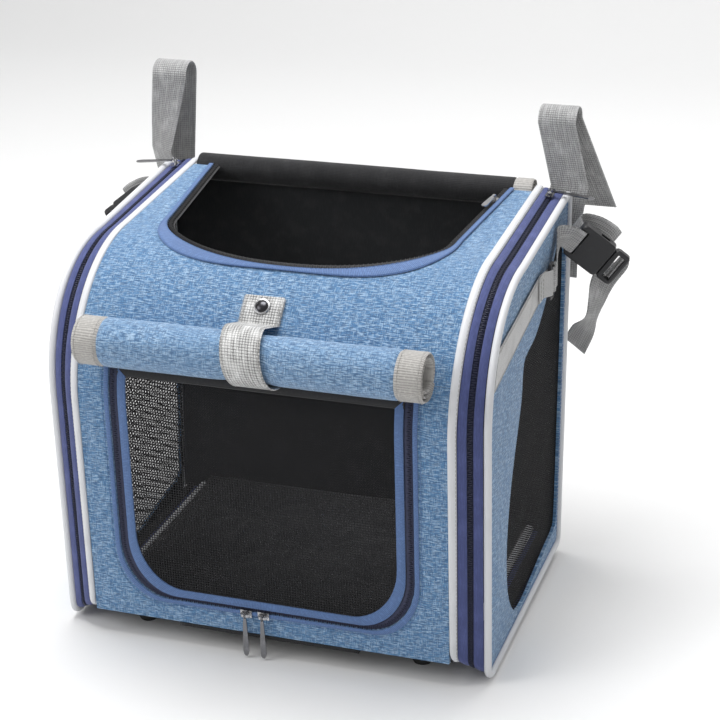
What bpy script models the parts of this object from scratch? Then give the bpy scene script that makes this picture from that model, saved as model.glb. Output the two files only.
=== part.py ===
"""Soft pet basket that hangs on a bicycle handlebar, with two side walls that unzip and fan out.

Depths run backwards from the front face and heights upwards from the front panel's lower edge.
The basket empty then moves everything so that z = 0 is the floor under the feet and the whole
part is centred on x = 0 and y = 0. Left is -X, right is +X, and the front faces -Y. Pieces that
come in pairs are worked out for the right and mirrored for the left.
"""

import math

import bmesh
import bpy
from mathutils import Matrix, Vector

# Body
front_width = 0.355
front_straight_height = 0.215
shoulder_depth = 0.130
shoulder_height = 0.341
shoulder_low_handle = 0.057
shoulder_high_handle = 0.082
top_rear_rise = 0.011
rear_foot_depth = 0.276
rear_head_depth = 0.303
panel_wall = 0.004
back_wall = 0.005
seam_height = 0.264

# Gussets between the front panel and the side walls
gusset_spread = 0.0275
side_set_back = 0.014
side_drop_front = 0.008
side_drop_rear = 0.005
side_sag_front = 0.018
side_sag_rear = 0.012
lower_corner_radius = 0.012
gusset_top_end_gap = 0.007
gusset_low_end_gap = 0.008
band_wall = 0.002
front_piping_half_width = 0.004
front_piping_half_height = 0.0025
front_piping_drop = 0.001
zip_half_width = 0.0038
coil_rise = 0.001
pleat_half_width = 0.0013
pleat_depth = 0.0045
zip_side_gap = 0.0007
side_seam_reach = 0.0062

# Side walls
side_wall = 0.003
side_piping_radius = 0.0035
side_corner_radius = 0.008
side_mesh_wall = 0.0008
side_mesh_overlap = 0.0035

# Mesh door
door_hinge_height = 0.251
door_half_width = 0.1425
door_low_edge = 0.023
door_corner_width = 0.045
door_corner_height = 0.055
door_zip_side = 0.008
door_zip_low = 0.003
door_binding_side = 0.0125
door_binding_low = 0.0065
door_binding_top = 0.008
door_binding_rise = 0.0006
door_binding_wall = 0.0024
door_mesh_wall = 0.0008
zip_wall = 0.0016

# Top opening
opening_front_depth = 0.079
opening_full_depth = 0.150
opening_half_width = 0.139
opening_rear_half_width = 0.152
opening_zip_width = 0.007
opening_binding_width = 0.006
opening_binding_corner_width = 0.009
opening_binding_wall = 0.0015
opening_binding_lift = 0.0006

# Rolled front flap
flap_roll_radius = 0.0245
flap_roll_height = 0.281
flap_roll_half_length = 0.160
flap_binding_length = 0.024
flap_cloth = 0.0030
flap_turn_gap = 0.0012

# Rolled rear flap of the top opening
cover_roll_radius = 0.0150
cover_roll_half_length = 0.172
cover_roll_set_in = 0.006
cover_roll_height = 0.3455
cover_cloth = 0.0022
cover_turn_gap = 0.0010

# Strap and snap that hold the rolled front flap
flap_strap_width = 0.037
flap_strap_wall = 0.0016
flap_strap_foot_x = 0.010
flap_strap_tab_x = -0.006
flap_strap_foot_height = 0.2585
flap_tab_start_depth = 0.030
flap_tab_end_depth = 0.049
snap_depth = 0.041
snap_radius = 0.0075
snap_height = 0.0028
snap_stud_radius = 0.0045
snap_stud_height = 0.0012

# Base
base_thickness = 0.0045
base_front_inset = 0.010
base_lip_half_width = 0.088
base_lip_height = 0.004
board_thickness = 0.003
foot_height = 0.0185
foot_radius = 0.0105
foot_tip_radius = 0.0085
foot_tip_height = 0.004
foot_half_spacing = 0.137
front_foot_depth = 0.036
rear_foot_inset = 0.030

# Cushion
cushion_edge_height = 0.009
cushion_crown = 0.014
cushion_inset = 0.004
cushion_side_pull = 0.005
cushion_tuft_depth = 0.007
cushion_tuft_radius = 0.030

# Zip sliders and pulls
slider_length = 0.011
slider_width = 0.0072
slider_wall = 0.0016
bridge_inset = 0.001
bridge_height = 0.0044
bridge_bar = 0.0016
bridge_width = 0.0024
pull_length = 0.042
fixed_pull_length = 0.026
pull_neck_width = 0.0026
pull_leaf_width = 0.0056
pull_wall = 0.0012
pull_ring_radius = 0.0026
pull_ring_wire = 0.0011
door_slider_half_spacing = 0.0085
door_slider_middle_x = -0.011
door_slider_drop = 0.002
door_slider_rise = 0.0009
top_slider_depth = 0.250
gusset_slider_depth = 0.278

# Handlebar straps
bar_strap_width = 0.038
bar_strap_wall = 0.0018
bar_strap_foot_x = 0.196
bar_strap_foot_height = 0.262
bar_strap_crease_height = 0.300
bar_strap_neck_height = 0.352
bar_strap_tail_height = 0.325
bar_strap_stand_off = 0.0009
bar_loop_radius = 0.0135
left_neck_x = 0.224
left_head_x = 0.205
left_tail_x = 0.214
left_strap_top = 0.446
right_neck_x = 0.204
right_head_x = 0.191
right_tail_x = 0.226
right_strap_top = 0.426

# Reflective strips, loops and webbing on the side walls
webbing_width = 0.025
webbing_wall = 0.0014
strip_front_width = 0.034
strip_front_height = 0.273
strip_hem_grip = 0.016
strip_hem_end = 0.024
loop_depth = 0.203
loop_height = 0.294
loop_bar = 0.0034
loop_slot = 0.0075
loop_side_clearance = 0.0025
loop_stand_off = 0.0053
webbing_hem_grip = 0.009
webbing_hem_end = 0.014

# Side release buckles
buckle_reach = 0.035
buckle_depth = 0.268
buckle_height = 0.2995
socket_length = 0.038
socket_width = 0.036
socket_thickness = 0.0125
socket_wall = 0.0022
socket_bar = 0.0040
socket_slot = 0.0050
socket_floor = 0.0025
socket_window_end = 0.009
socket_window_length = 0.010
socket_window_height = 0.0055
plug_base_length = 0.0167
plug_base_width = 0.034
plug_base_thickness = 0.0085
plug_bar = 0.0035
plug_slot = 0.0080
plug_prong_length = 0.024
plug_prong_width = 0.0055
plug_tongue_width = 0.0080
plug_prong_thickness = 0.0050
plug_prong_root = 0.002
plug_clearance = 0.0007
plug_strap_lean = 0.0022
buckle_corner_radius = 0.004
buckle_edge_bevel = 0.0012
slot_side_clearance = 0.0005
anchor_reach = 0.009
anchor_height = 0.192
anchor_stand_off = 0.0040

# Shared clearances and cutting lengths
fit_gap = 0.0003
cutter_overrun = 0.020

# Directions of the right buckle, from its webbing end to its strap end and out of its face
buckle_run_shares = (0.785, 0.120, -0.607)
buckle_face_shares = (0.120, -0.980, 0.020)

# Side window, as shares of the depth across the side wall and of the height up it
side_window_shares = (
    (0.448, 0.744), (0.417, 0.705), (0.400, 0.630), (0.293, 0.459), (0.238, 0.296),
    (0.252, 0.150), (0.344, 0.056), (0.470, 0.034), (0.656, 0.051), (0.823, 0.068),
    (0.925, 0.078), (0.957, 0.130), (0.959, 0.480), (0.959, 0.840), (0.945, 0.900),
    (0.895, 0.935), (0.840, 0.935), (0.780, 0.890), (0.700, 0.818), (0.575, 0.762),
)
# Tufts of the cushion, as shares of its half width and of its length
tuft_shares = ((-0.5, 0.3), (0.5, 0.3), (0.0, 0.5), (-0.5, 0.7), (0.5, 0.7))
# Webbing before and after the socket's slot, as shares of the socket's length along, across and
# off the buckle
webbing_front_shares = ((-0.93, -0.30, 0.71), (-1.05, -0.12, 0.50), (-0.86, 0.0, 0.30))
webbing_tail_shares = (
    (-0.84, 0.09, -0.43), (-0.72, 0.18, -0.59), (-0.38, 0.31, -0.63), (0.00, 0.37, -0.58),
    (0.21, 0.34, -0.50),
)
# Stabiliser strap below the plug, as the same shares, each with its own width direction
stabiliser_shares = (
    ((0.55, 0.00, -0.28), (0.3, 0.9, 0.0)),
    ((0.57, -0.02, -0.40), (0.85, 0.5, 0.0)),
    ((0.59, -0.16, -0.50), (1.0, 0.0, 0.0)),
    ((0.62, -0.50, -0.48), (1.0, 0.0, -0.2)),
    ((0.70, -0.82, -0.43), (0.95, 0.0, -0.45)),
    ((0.87, -1.18, -0.46), (0.75, 0.0, -0.75)),
    ((1.07, -1.65, -0.64), (0.6, 0.0, -0.9)),
    ((1.18, -2.18, -0.84), (0.95, 0.0, -0.2)),
)
# Snap cap, as shares of its height and radius; pull leaf, as shares of its length and width
snap_shares = ((0.0, 0.90), (0.35, 1.00), (0.75, 0.88), (1.0, 0.55))
pull_leaf_shares = ((0.16, 0.30), (0.60, 0.46), (0.88, 0.50), (0.96, 0.38), (1.0, 0.18))
opening_roundness_share = 2 / 2.2

# Turns
flap_turns = 2.3
cover_turns = 3.0
flap_roll_end_turn = math.radians(-37)
cover_roll_end_turn = math.radians(-80)
left_neck_turn = math.radians(35)
gusset_pull_droop = math.radians(6)

# Counts
top_steps = 5
straight_steps = 6
shoulder_steps = 14
corner_steps = 7
side_corner_steps = 4
roll_steps_per_turn = 16
piping_sides = 8
wire_sides = 6
door_corner_steps = 7
door_shoulder_steps = 4
opening_steps = 28
window_steps = 3
round_sides = 20
ring_sides = 12
strap_arc_steps = 12
hem_steps = 6
route_steps = 3
plan_corner_steps = 3
cushion_columns = 22
cushion_rows = 16
profile_search_steps = 12

finishes = {
    "blue_cloth": ((0.11, 0.28, 0.52), 0.85, 0.0),
    "royal_binding": ((0.10, 0.17, 0.47), 0.70, 0.0),
    "navy_band": ((0.07, 0.09, 0.25), 0.75, 0.0),
    "navy_zip": ((0.02, 0.025, 0.07), 0.55, 0.0),
    "white_piping": ((0.82, 0.82, 0.84), 0.50, 0.0),
    "black_cloth": ((0.012, 0.012, 0.014), 0.80, 0.0),
    "black_mesh": ((0.010, 0.010, 0.011), 0.70, 0.0),
    "grey_binding": ((0.42, 0.40, 0.38), 0.80, 0.0),
    "grey_webbing": ((0.22, 0.22, 0.22), 0.80, 0.0),
    "reflective_tape": ((0.52, 0.52, 0.52), 0.45, 0.0),
    "black_plastic": ((0.015, 0.015, 0.016), 0.40, 0.0),
    "black_rubber": ((0.013, 0.013, 0.013), 0.75, 0.0),
    "zip_metal": ((0.35, 0.35, 0.36), 0.25, 1.0),
    "board": ((0.03, 0.03, 0.03), 0.60, 0.0),
    "cushion_cloth": ((0.035, 0.035, 0.038), 0.90, 0.0),
}

across_x = Vector((1, 0, 0))
backwards = Vector((0, 1, 0))
upwards = Vector((0, 0, 1))
world_axes = (across_x, backwards, upwards)
body_origin = Vector((0, 0, 0))


def lerp(a, b, share):
    return a + (b - a) * share


def rear_at(height):
    """Depth of the leaning rear face at a height."""
    return lerp(rear_foot_depth, rear_head_depth, height / shoulder_height)


def bezier(knots, share):
    rest = 1 - share
    weights = (rest ** 3, 3 * rest * rest * share, 3 * rest * share * share, share ** 3)
    return sum((knot * weight for weight, knot in zip(weights, knots)), Vector((0, 0)))


def fillet(before, corner, after, radius, steps):
    """Points of an arc that rounds the corner between two straight lines."""
    first = (before - corner).normalized()
    second = (after - corner).normalized()
    half = first.angle(second) / 2
    middle = corner + (first + second).normalized() * (radius / math.sin(half))
    start = corner + first * (radius / math.tan(half)) - middle
    end = corner + second * (radius / math.tan(half)) - middle
    directions = [start.slerp(end, step / steps).normalized() for step in range(steps + 1)]
    return [middle + direction * radius for direction in directions]


def route_runs(points, closed=False):
    """Unit directions along a row of points."""
    last = len(points) - 1
    runs = []
    for step in range(last + 1):
        before = points[step - 1] if closed or step > 0 else points[0]
        after = points[(step + 1) % (last + 1)] if closed or step < last else points[last]
        runs.append((after - before).normalized())
    return runs


def smooth_route(points, steps, closed=False):
    """Points of a smooth curve through a row of points."""
    count = len(points)
    result = []
    for span in range(count if closed else count - 1):
        if closed:
            a, b, c, d = (points[(span + offset - 1) % count] for offset in range(4))
        else:
            a, b, c, d = (points[min(max(span + offset - 1, 0), count - 1)] for offset in range(4))
        for step in range(steps):
            t = step / steps
            bend = (c - a) * t + (2 * a - 5 * b + 4 * c - d) * t * t + (3 * b - a - 3 * c + d) * t ** 3
            result.append(b + bend / 2)
    if not closed:
        result.append(points[-1].copy())
    return result


def straight_route(points, steps):
    """Evenly spaced points on the straight lines through a row of points."""
    result = []
    for first, second in zip(points, points[1:]):
        result += [first.lerp(second, step / steps) for step in range(steps)]
    return result + [points[-1].copy()]


def rim_path(side):
    """Depth and height of a gusset edge from its top rear end round to its low rear end.
    side is 0 on the front panel's edge and 1 on the side wall's edge."""
    back = side_set_back * side
    knots = [
        Vector((back, front_straight_height)),
        Vector((back, front_straight_height + shoulder_low_handle)),
        Vector((shoulder_depth - shoulder_high_handle, shoulder_height - side_drop_front * side)),
        Vector((shoulder_depth, shoulder_height - side_drop_front * side)),
    ]
    head = Vector((
        rear_at(shoulder_height) - gusset_top_end_gap,
        shoulder_height + top_rear_rise - side_drop_rear * side,
    ))
    points = [head.lerp(knots[3], step / top_steps) for step in range(top_steps)]
    points += [bezier(knots[::-1], step / shoulder_steps) for step in range(shoulder_steps + 1)]
    corner = Vector((back, -side_sag_front * side))
    end = Vector((rear_at(0) - gusset_low_end_gap, -side_sag_rear * side))
    turn = fillet(knots[0], corner, end, lower_corner_radius, corner_steps)
    points += [points[-1].lerp(turn[0], step / straight_steps) for step in range(1, straight_steps)]
    points += turn
    return points + [turn[-1].lerp(end, step / straight_steps) for step in range(1, straight_steps + 1)]


# Values worked out from the sizes above
half_front = front_width / 2
half_side = half_front + gusset_spread
panel_half = half_front - front_piping_half_width - fit_gap
side_inner = half_side - side_wall
back_half = half_side - side_piping_radius - fit_gap
back_top = cover_roll_height - cover_roll_radius - fit_gap
floor_drop = base_thickness + foot_height + fit_gap
front_rim = rim_path(0)
side_rim = rim_path(1)

# The front and top in depth and height, from the lower edge to the rear end
profile = [Vector((0, 0))] + front_rim[: top_steps + shoulder_steps + 1][::-1]
profile_outs = [Vector((-run.y, run.x)) for run in route_runs(profile)]
profile_outs[1] = profile_outs[0]


def profile_place(value, axis):
    """Point and outward direction on the profile, at a depth (axis 0) or at a height (axis 1)."""
    for step in range(len(profile) - 1):
        first, second = profile[step], profile[step + 1]
        if first[axis] <= value <= second[axis] and second[axis] > first[axis]:
            share = (value - first[axis]) / (second[axis] - first[axis])
            out = profile_outs[step].lerp(profile_outs[step + 1], share)
            return first.lerp(second, share), out.normalized()
    raise ValueError("the profile has no such place")


def on_front(x, height, rise):
    """A point on the front, rise outside its face."""
    place, out = profile_place(height, 1)
    return Vector((x, *(place + out * rise)))


def on_top(x, depth, rise):
    """A point on the top, rise above its face."""
    place, out = profile_place(depth, 0)
    return Vector((x, *(place + out * rise)))


def resting_depth():
    """Depth of the rolled front flap's middle, where it just touches the curved front."""
    shares = [step / profile_search_steps for step in range(profile_search_steps)]
    close = [a.lerp(b, share) for a, b in zip(profile, profile[1:]) for share in shares]
    clear = flap_roll_radius + fit_gap
    depths = []
    for point in close:
        rise = point.y - flap_roll_height
        if abs(rise) < clear:
            depths.append(point.x - math.sqrt(clear * clear - rise * rise))
    return min(depths)


flap_centre = Vector((0, resting_depth(), flap_roll_height))
cover_centre = Vector((0, rear_at(shoulder_height) - cover_roll_set_in, cover_roll_height))
top_end_depth = cover_centre.y - cover_roll_radius - fit_gap
strap_orbit = flap_roll_radius + fit_gap + flap_strap_wall / 2
front_reach = strap_orbit + flap_strap_wall / 2 - flap_centre.y
bar_strap_face = bar_strap_stand_off + bar_strap_wall / 2
rear_reach = rear_head_depth + bar_strap_face + 2 * bar_loop_radius + bar_strap_wall / 2

buckle_centre = Vector((half_side + buckle_reach, buckle_depth, buckle_height))
buckle_run = Vector(buckle_run_shares).normalized()
buckle_across = Vector(buckle_face_shares).cross(buckle_run).normalized()
buckle_face = buckle_run.cross(buckle_across)
buckle_half = (socket_length + fit_gap + plug_base_length) / 2
socket_mouth = socket_length - buckle_half
socket_slot_middle = socket_bar + socket_slot / 2 - buckle_half
plug_slot_middle = buckle_half - plug_bar - plug_slot / 2


def remove_old_objects():
    for old in list(bpy.data.objects):
        bpy.data.objects.remove(old)


def finish_material(name, finish):
    colour, roughness, metallic = finishes[finish]
    material = bpy.data.materials.new(name)
    material.use_nodes = True
    shader = material.node_tree.nodes["Principled BSDF"]
    shader.inputs["Base Color"].default_value = (*colour, 1.0)
    shader.inputs["Roughness"].default_value = roughness
    shader.inputs["Metallic"].default_value = metallic
    return material


def skinned_mesh(name, rings, closed):
    """Skins a row of matching rings; an open row gets a cap at each end."""
    shape = bmesh.new()
    rows = [[shape.verts.new(point) for point in ring] for ring in rings]
    pairs = list(zip(rows, rows[1:]))
    if closed:
        pairs.append((rows[-1], rows[0]))
    for first, second in pairs:
        for step in range(len(first)):
            after = (step + 1) % len(first)
            shape.faces.new((first[step], first[after], second[after], second[step]))
    if not closed:
        shape.faces.new(rows[0])
        shape.faces.new(rows[-1])
    bmesh.ops.recalc_face_normals(shape, faces=shape.faces)
    data = bpy.data.meshes.new(name)
    shape.to_mesh(data)
    shape.free()
    return data


def place_of(empty):
    """Where an empty lies in the basket's own frame."""
    place = Vector((0, 0, 0))
    while empty.parent is not None:
        place += empty.location
        empty = empty.parent
    return place


def pivot(name, point, carrier):
    """An empty on a joint's axis, which carries what moves with the joint."""
    empty = bpy.data.objects.new(name, None)
    bpy.context.scene.collection.objects.link(empty)
    empty.parent = carrier
    empty.location = point - place_of(carrier)
    return empty


def carry(obj, carrier):
    """Hands an object, modelled in the basket's own frame, to the empty that carries it."""
    bpy.context.scene.collection.objects.link(obj)
    obj.data.transform(Matrix.Translation(-place_of(carrier)))
    obj.parent = carrier


def piece(name, finish, carrier, rings, closed=False, smooth=False):
    obj = bpy.data.objects.new(name, skinned_mesh(name, rings, closed))
    obj.data.materials.append(finish_material(name, finish))
    carry(obj, carrier)
    if smooth:
        obj.data.shade_smooth()
        obj.data.set_sharp_from_angle(angle=math.radians(40))
    return obj


def change(target, operation, name, rings):
    """Cuts a shape out of a piece with DIFFERENCE, or joins it on with UNION."""
    tool = bpy.data.objects.new(name, skinned_mesh(name, rings, False))
    carry(tool, target.parent)
    tool.hide_render = True
    tool.display_type = "WIRE"
    step = target.modifiers.new(name, "BOOLEAN")
    step.operation = operation
    step.solver = "EXACT"
    step.object = tool


def turned(rings, sign):
    """Rings of the right side as they are, or mirrored to the left."""
    return [[Vector((point.x * sign, point.y, point.z)) for point in ring] for ring in rings]


def box_rings(centre, axes, low, high):
    """A box between a low and a high corner, measured along three axes from a centre."""
    corners = ((low[0], low[1]), (high[0], low[1]), (high[0], high[1]), (low[0], high[1]))
    rings = []
    for far in (low[2], high[2]):
        rings.append([centre + axes[0] * a + axes[1] * b + axes[2] * far for a, b in corners])
    return rings


def plan_rings(centre, axes, outline, low, high):
    """An outline along the first two axes, drawn out along the third."""
    rings = []
    for far in (low, high):
        rings.append([centre + axes[0] * a + axes[1] * b + axes[2] * far for a, b in outline])
    return rings


def rounded_block_rings(centre, axes, low, high):
    """A block with rounded corners in plan and bevelled upper and lower edges."""
    corners = (
        (high[0], high[1], -1, -1), (low[0], high[1], 1, -1),
        (low[0], low[1], 1, 1), (high[0], low[1], -1, 1),
    )
    stations = (
        (low[2], buckle_edge_bevel), (low[2] + buckle_edge_bevel, 0),
        (high[2] - buckle_edge_bevel, 0), (high[2], buckle_edge_bevel),
    )
    rings = []
    for far, inset in stations:
        radius = buckle_corner_radius - inset
        ring = []
        for quarter, (a, b, inwards_a, inwards_b) in enumerate(corners):
            for step in range(plan_corner_steps + 1):
                turn = math.pi / 2 * (quarter + step / plan_corner_steps)
                along = a + inwards_a * buckle_corner_radius + radius * math.cos(turn)
                aside = b + inwards_b * buckle_corner_radius + radius * math.sin(turn)
                ring.append(centre + axes[0] * along + axes[1] * aside + axes[2] * far)
        rings.append(ring)
    return rings


def ribbon_rings(points, across, width, wall):
    """Rectangles of a strap along a route; across gives its width direction at each point."""
    rings = []
    for point, run, side in zip(points, route_runs(points), across):
        lift = side.cross(run).normalized() * wall / 2
        low = point - side.normalized() * width / 2
        high = point + side.normalized() * width / 2
        rings.append([low - lift, high - lift, high + lift, low + lift])
    return rings


def bead_rings(points, frames, half_width, half_height, sides):
    """Ovals of a bead along a route; frames gives its width and height directions."""
    turns = [2 * math.pi * (step + 0.5) / sides for step in range(sides)]
    return [
        [point + wide * half_width * math.cos(t) + tall * half_height * math.sin(t) for t in turns]
        for point, (wide, tall) in zip(points, frames)
    ]


def turned_shape_rings(centre, axis, stations):
    """Rings of a turned shape; stations are pairs of distance along the axis and radius."""
    side = axis.orthogonal().normalized()
    other = axis.cross(side)
    turns = [2 * math.pi * step / round_sides for step in range(round_sides)]
    return [
        [centre + axis * far + (side * math.cos(t) + other * math.sin(t)) * radius for t in turns]
        for far, radius in stations
    ]


def gusset_frames(share, offset):
    """Places along the right gusset, each with its wide and outward directions. share is how far
    they lie from the front edge to the side edge, and offset is added to that."""
    frames = []
    runs = zip(route_runs(front_rim), route_runs(side_rim))
    for near, far, (near_run, far_run) in zip(front_rim, side_rim, runs):
        start, end = Vector((half_front, *near)), Vector((half_side, *far))
        wide = (end - start).normalized()
        run = Vector((0, *near_run.lerp(far_run, share)))
        frames.append((start.lerp(end, share) + wide * offset, wide, run.cross(wide).normalized()))
    return frames


def gusset_strip_rings(start, end, low, high, sign):
    """A strip along a gusset between two places across it and two rises."""
    rings = []
    for first, second in zip(gusset_frames(*start), gusset_frames(*end)):
        rings.append([
            first[0] + first[2] * high, second[0] + second[2] * high,
            second[0] + second[2] * low, first[0] + first[2] * low,
        ])
    return turned(rings, sign)


def panel_rings(low_place, high_place):
    """A stretch of the front and top cloth between two places on the profile."""
    route = [low_place]
    for point, out in zip(profile, profile_outs):
        if low_place[0].y < point.y < high_place[0].y:
            route.append((point, out))
    route.append(high_place)
    rings = []
    for place, out in route:
        inner = place - out * panel_wall
        rings.append([
            Vector((-panel_half, *place)), Vector((panel_half, *place)),
            Vector((panel_half, *inner)), Vector((-panel_half, *inner)),
        ])
    return rings


def door_outline(side_inset, low_inset, top_inset):
    """The door's left, lower and right edges as pairs of x and height, drawn in by the insets."""
    half = door_half_width - side_inset
    low = door_low_edge + low_inset
    top = door_hinge_height - fit_gap - top_inset
    left = []
    for step in range(door_shoulder_steps + 1):
        left.append((-half, lerp(top, front_straight_height, step / door_shoulder_steps)))
    for step in range(door_corner_steps + 1):
        turn = math.pi / 2 * step / door_corner_steps
        x = -half + door_corner_width * (1 - math.cos(turn))
        left.append((x, low + door_corner_height * (1 - math.sin(turn))))
    return left + [(-x, height) for x, height in left[::-1]]


def band_rings(place, outer, inner, low, high):
    """A band between two outlines; place puts a point on the front or on the top."""
    rings = []
    for a, b in zip(outer, inner):
        rings.append([place(*a, high), place(*b, high), place(*b, low), place(*a, low)])
    return rings


def opening_outline(grow, corner_grow=0):
    """The top opening's edge moved outwards, from its left rear end to its right rear end.
    corner_grow moves its two front corners further out."""
    points = []
    for step in range(opening_steps + 1):
        turn = math.pi * (step / opening_steps - 0.5)
        more = grow + corner_grow * math.sin(2 * turn) ** 2
        wide = math.copysign(abs(math.sin(turn)) ** opening_roundness_share, turn)
        deep = abs(math.cos(turn)) ** opening_roundness_share
        span = opening_full_depth - opening_front_depth + more
        points.append(((opening_half_width + more) * wide, opening_full_depth - span * deep))
    rear = opening_rear_half_width + grow
    return [(-rear, top_end_depth), *points, (rear, top_end_depth)]


def make_front_and_top(basket):
    foot = (profile[0], profile_outs[0])
    front = piece("front_panel", "blue_cloth", basket, panel_rings(foot, profile_place(seam_height, 1)))
    corners = [(-door_half_width, door_hinge_height), (door_half_width, door_hinge_height)]
    hole = [corners[0], *door_outline(0, 0, 0)[1:-1], corners[1]]
    axes = (across_x, upwards, backwards)
    rings = plan_rings(body_origin, axes, hole, -cutter_overrun, cutter_overrun)
    change(front, "DIFFERENCE", "door_cutter", rings)
    start = profile_place(seam_height + fit_gap, 1)
    top = piece("top_panel", "blue_cloth", basket, panel_rings(start, profile_place(top_end_depth, 0)))
    plan = opening_outline(0)
    over = top_end_depth + cutter_overrun
    plan = [(plan[0][0], over), *plan, (plan[-1][0], over)]
    low = profile_place(opening_front_depth, 0)[0].y - cutter_overrun
    high = shoulder_height + top_rear_rise + cutter_overrun
    change(top, "DIFFERENCE", "opening_cutter", plan_rings(body_origin, world_axes, plan, low, high))
    place, out = profile_place(snap_depth, 0)
    stations = ((-panel_wall / 2, snap_stud_radius), (snap_stud_height, snap_stud_radius))
    middle = Vector((flap_strap_tab_x, *place))
    change(top, "UNION", "snap_stud", turned_shape_rings(middle, Vector((0, *out)), stations))


def make_top_trim(basket):
    edge = opening_outline(-fit_gap)
    inner = opening_outline(-opening_zip_width)
    piece("top_zip", "navy_zip", basket, band_rings(on_top, edge, inner, -zip_wall, 0))
    outer = opening_outline(opening_binding_width, opening_binding_corner_width)
    low, high = opening_binding_lift, opening_binding_lift + opening_binding_wall
    rings = band_rings(on_top, outer, opening_outline(0), low, high)
    piece("top_opening_binding", "royal_binding", basket, rings)


def make_back(basket):
    ear = half_front - front_piping_half_width
    outline = (
        (-back_half, -base_thickness), (back_half, -base_thickness), (back_half, shoulder_height),
        (ear, shoulder_height), (ear, back_top), (-ear, back_top), (-ear, shoulder_height),
        (-back_half, shoulder_height),
    )
    rings = []
    for shift in (-back_wall, 0):
        rings.append([Vector((x, rear_at(height) + shift, height)) for x, height in outline])
    piece("back_panel", "black_cloth", basket, rings)


def make_base(basket):
    rear = rear_at(-base_thickness) - back_wall - fit_gap
    low = (-panel_half, base_front_inset, -base_thickness)
    high = (panel_half, rear, -fit_gap)
    base = piece("base_panel", "black_cloth", basket, box_rings(body_origin, world_axes, low, high))
    low = (-base_lip_half_width, 0, -base_lip_height)
    high = (base_lip_half_width, base_front_inset + panel_wall, -fit_gap * 2)
    change(base, "UNION", "base_lip", box_rings(body_origin, world_axes, low, high))
    low = (-panel_half + fit_gap, panel_wall + fit_gap, 0)
    high = (panel_half - fit_gap, rear, board_thickness)
    piece("base_board", "board", basket, box_rings(body_origin, world_axes, low, high))
    stations = ((0, foot_radius), (foot_height - foot_tip_height, foot_radius), (foot_height, foot_tip_radius))
    for row, depth in (("front", front_foot_depth), ("rear", rear - rear_foot_inset)):
        for side, sign in (("left", -1), ("right", 1)):
            seat = Vector((sign * foot_half_spacing, depth, -base_thickness - fit_gap))
            rings = turned_shape_rings(seat, -upwards, stations)
            piece(f"foot_{row}_{side}", "black_rubber", basket, rings, smooth=True)


def cushion_place(u, v):
    """A point of the cushion's top; u runs from -1 to 1 across and v from 0 to 1 backwards."""
    front = panel_wall + fit_gap + cushion_inset
    length = rear_at(0) - back_wall - fit_gap - cushion_inset - front
    half = panel_half - fit_gap - cushion_inset
    pull_x = cushion_side_pull * (1 - (2 * v - 1) ** 2)
    pull_y = cushion_side_pull * (1 - u * u)
    crown = math.sqrt((1 - u ** 4) * (1 - (2 * v - 1) ** 4))
    height = board_thickness + fit_gap + cushion_edge_height + cushion_crown * crown
    for tuft_u, tuft_v in tuft_shares:
        away = math.hypot((u - tuft_u) * half, (v - tuft_v) * length)
        height -= cushion_tuft_depth * math.exp(-(away / cushion_tuft_radius) ** 2)
    return Vector((u * (half - pull_x), front + pull_y + v * (length - 2 * pull_y), height))


def make_cushion(basket):
    """A crowned pad with five sewn tufts, whose sides draw in between its corners."""
    shape = bmesh.new()
    rows = []
    for row in range(cushion_rows + 1):
        v = row / cushion_rows
        us = [2 * column / cushion_columns - 1 for column in range(cushion_columns + 1)]
        rows.append([shape.verts.new(cushion_place(u, v)) for u in us])
    for first, second in zip(rows, rows[1:]):
        for step in range(cushion_columns):
            shape.faces.new((first[step], first[step + 1], second[step + 1], second[step]))
    edge = rows[0][:-1] + [line[-1] for line in rows[:-1]]
    edge += rows[-1][:0:-1] + [line[0] for line in rows[:0:-1]]
    low = board_thickness + fit_gap
    bottom = [shape.verts.new((vert.co.x, vert.co.y, low)) for vert in edge]
    for step in range(len(edge)):
        after = (step + 1) % len(edge)
        shape.faces.new((edge[step], edge[after], bottom[after], bottom[step]))
    shape.faces.new(bottom)
    bmesh.ops.recalc_face_normals(shape, faces=shape.faces)
    data = bpy.data.meshes.new("cushion_pad")
    shape.to_mesh(data)
    shape.free()
    data.shade_smooth()
    data.set_sharp_from_angle(angle=math.radians(40))
    data.materials.append(finish_material("cushion_pad", "cushion_cloth"))
    carry(bpy.data.objects.new("cushion_pad", data), basket)


def make_gusset(side, sign, basket, wall):
    """Two cloth bands, a zip and a hidden pleat between the front panel and a side wall."""
    start = (0, front_piping_half_width + fit_gap)
    end = (1 / 2, -zip_half_width - zip_side_gap)
    rings = gusset_strip_rings(start, end, -band_wall, 0, sign)
    piece(f"gusset_band_inner_{side}", "navy_band", basket, rings)
    start = (1 / 2, zip_half_width + zip_side_gap)
    end = (1, -side_seam_reach)
    rings = gusset_strip_rings(start, end, -band_wall, 0, sign)
    piece(f"gusset_band_outer_{side}", "navy_band", wall, rings)
    start = (1 / 2, -zip_half_width)
    end = (1 / 2, zip_half_width)
    rings = gusset_strip_rings(start, end, -band_wall, coil_rise, sign)
    piece(f"gusset_zip_{side}", "navy_zip", basket, rings)
    high = -band_wall - fit_gap
    start = (1 / 2, -pleat_half_width)
    end = (1 / 2, pleat_half_width)
    rings = gusset_strip_rings(start, end, high - pleat_depth, high, sign)
    piece(f"gusset_pleat_{side}", "black_cloth", basket, rings)


def make_front_piping(side, sign, basket):
    points = []
    frames = []
    for place, wide, out in gusset_frames(0, 0):
        points.append(place - out * front_piping_drop)
        frames.append((wide, out))
    rings = bead_rings(points, frames, front_piping_half_width, front_piping_half_height, piping_sides)
    piece(f"front_piping_{side}", "white_piping", basket, turned(rings, sign), smooth=True)


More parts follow.
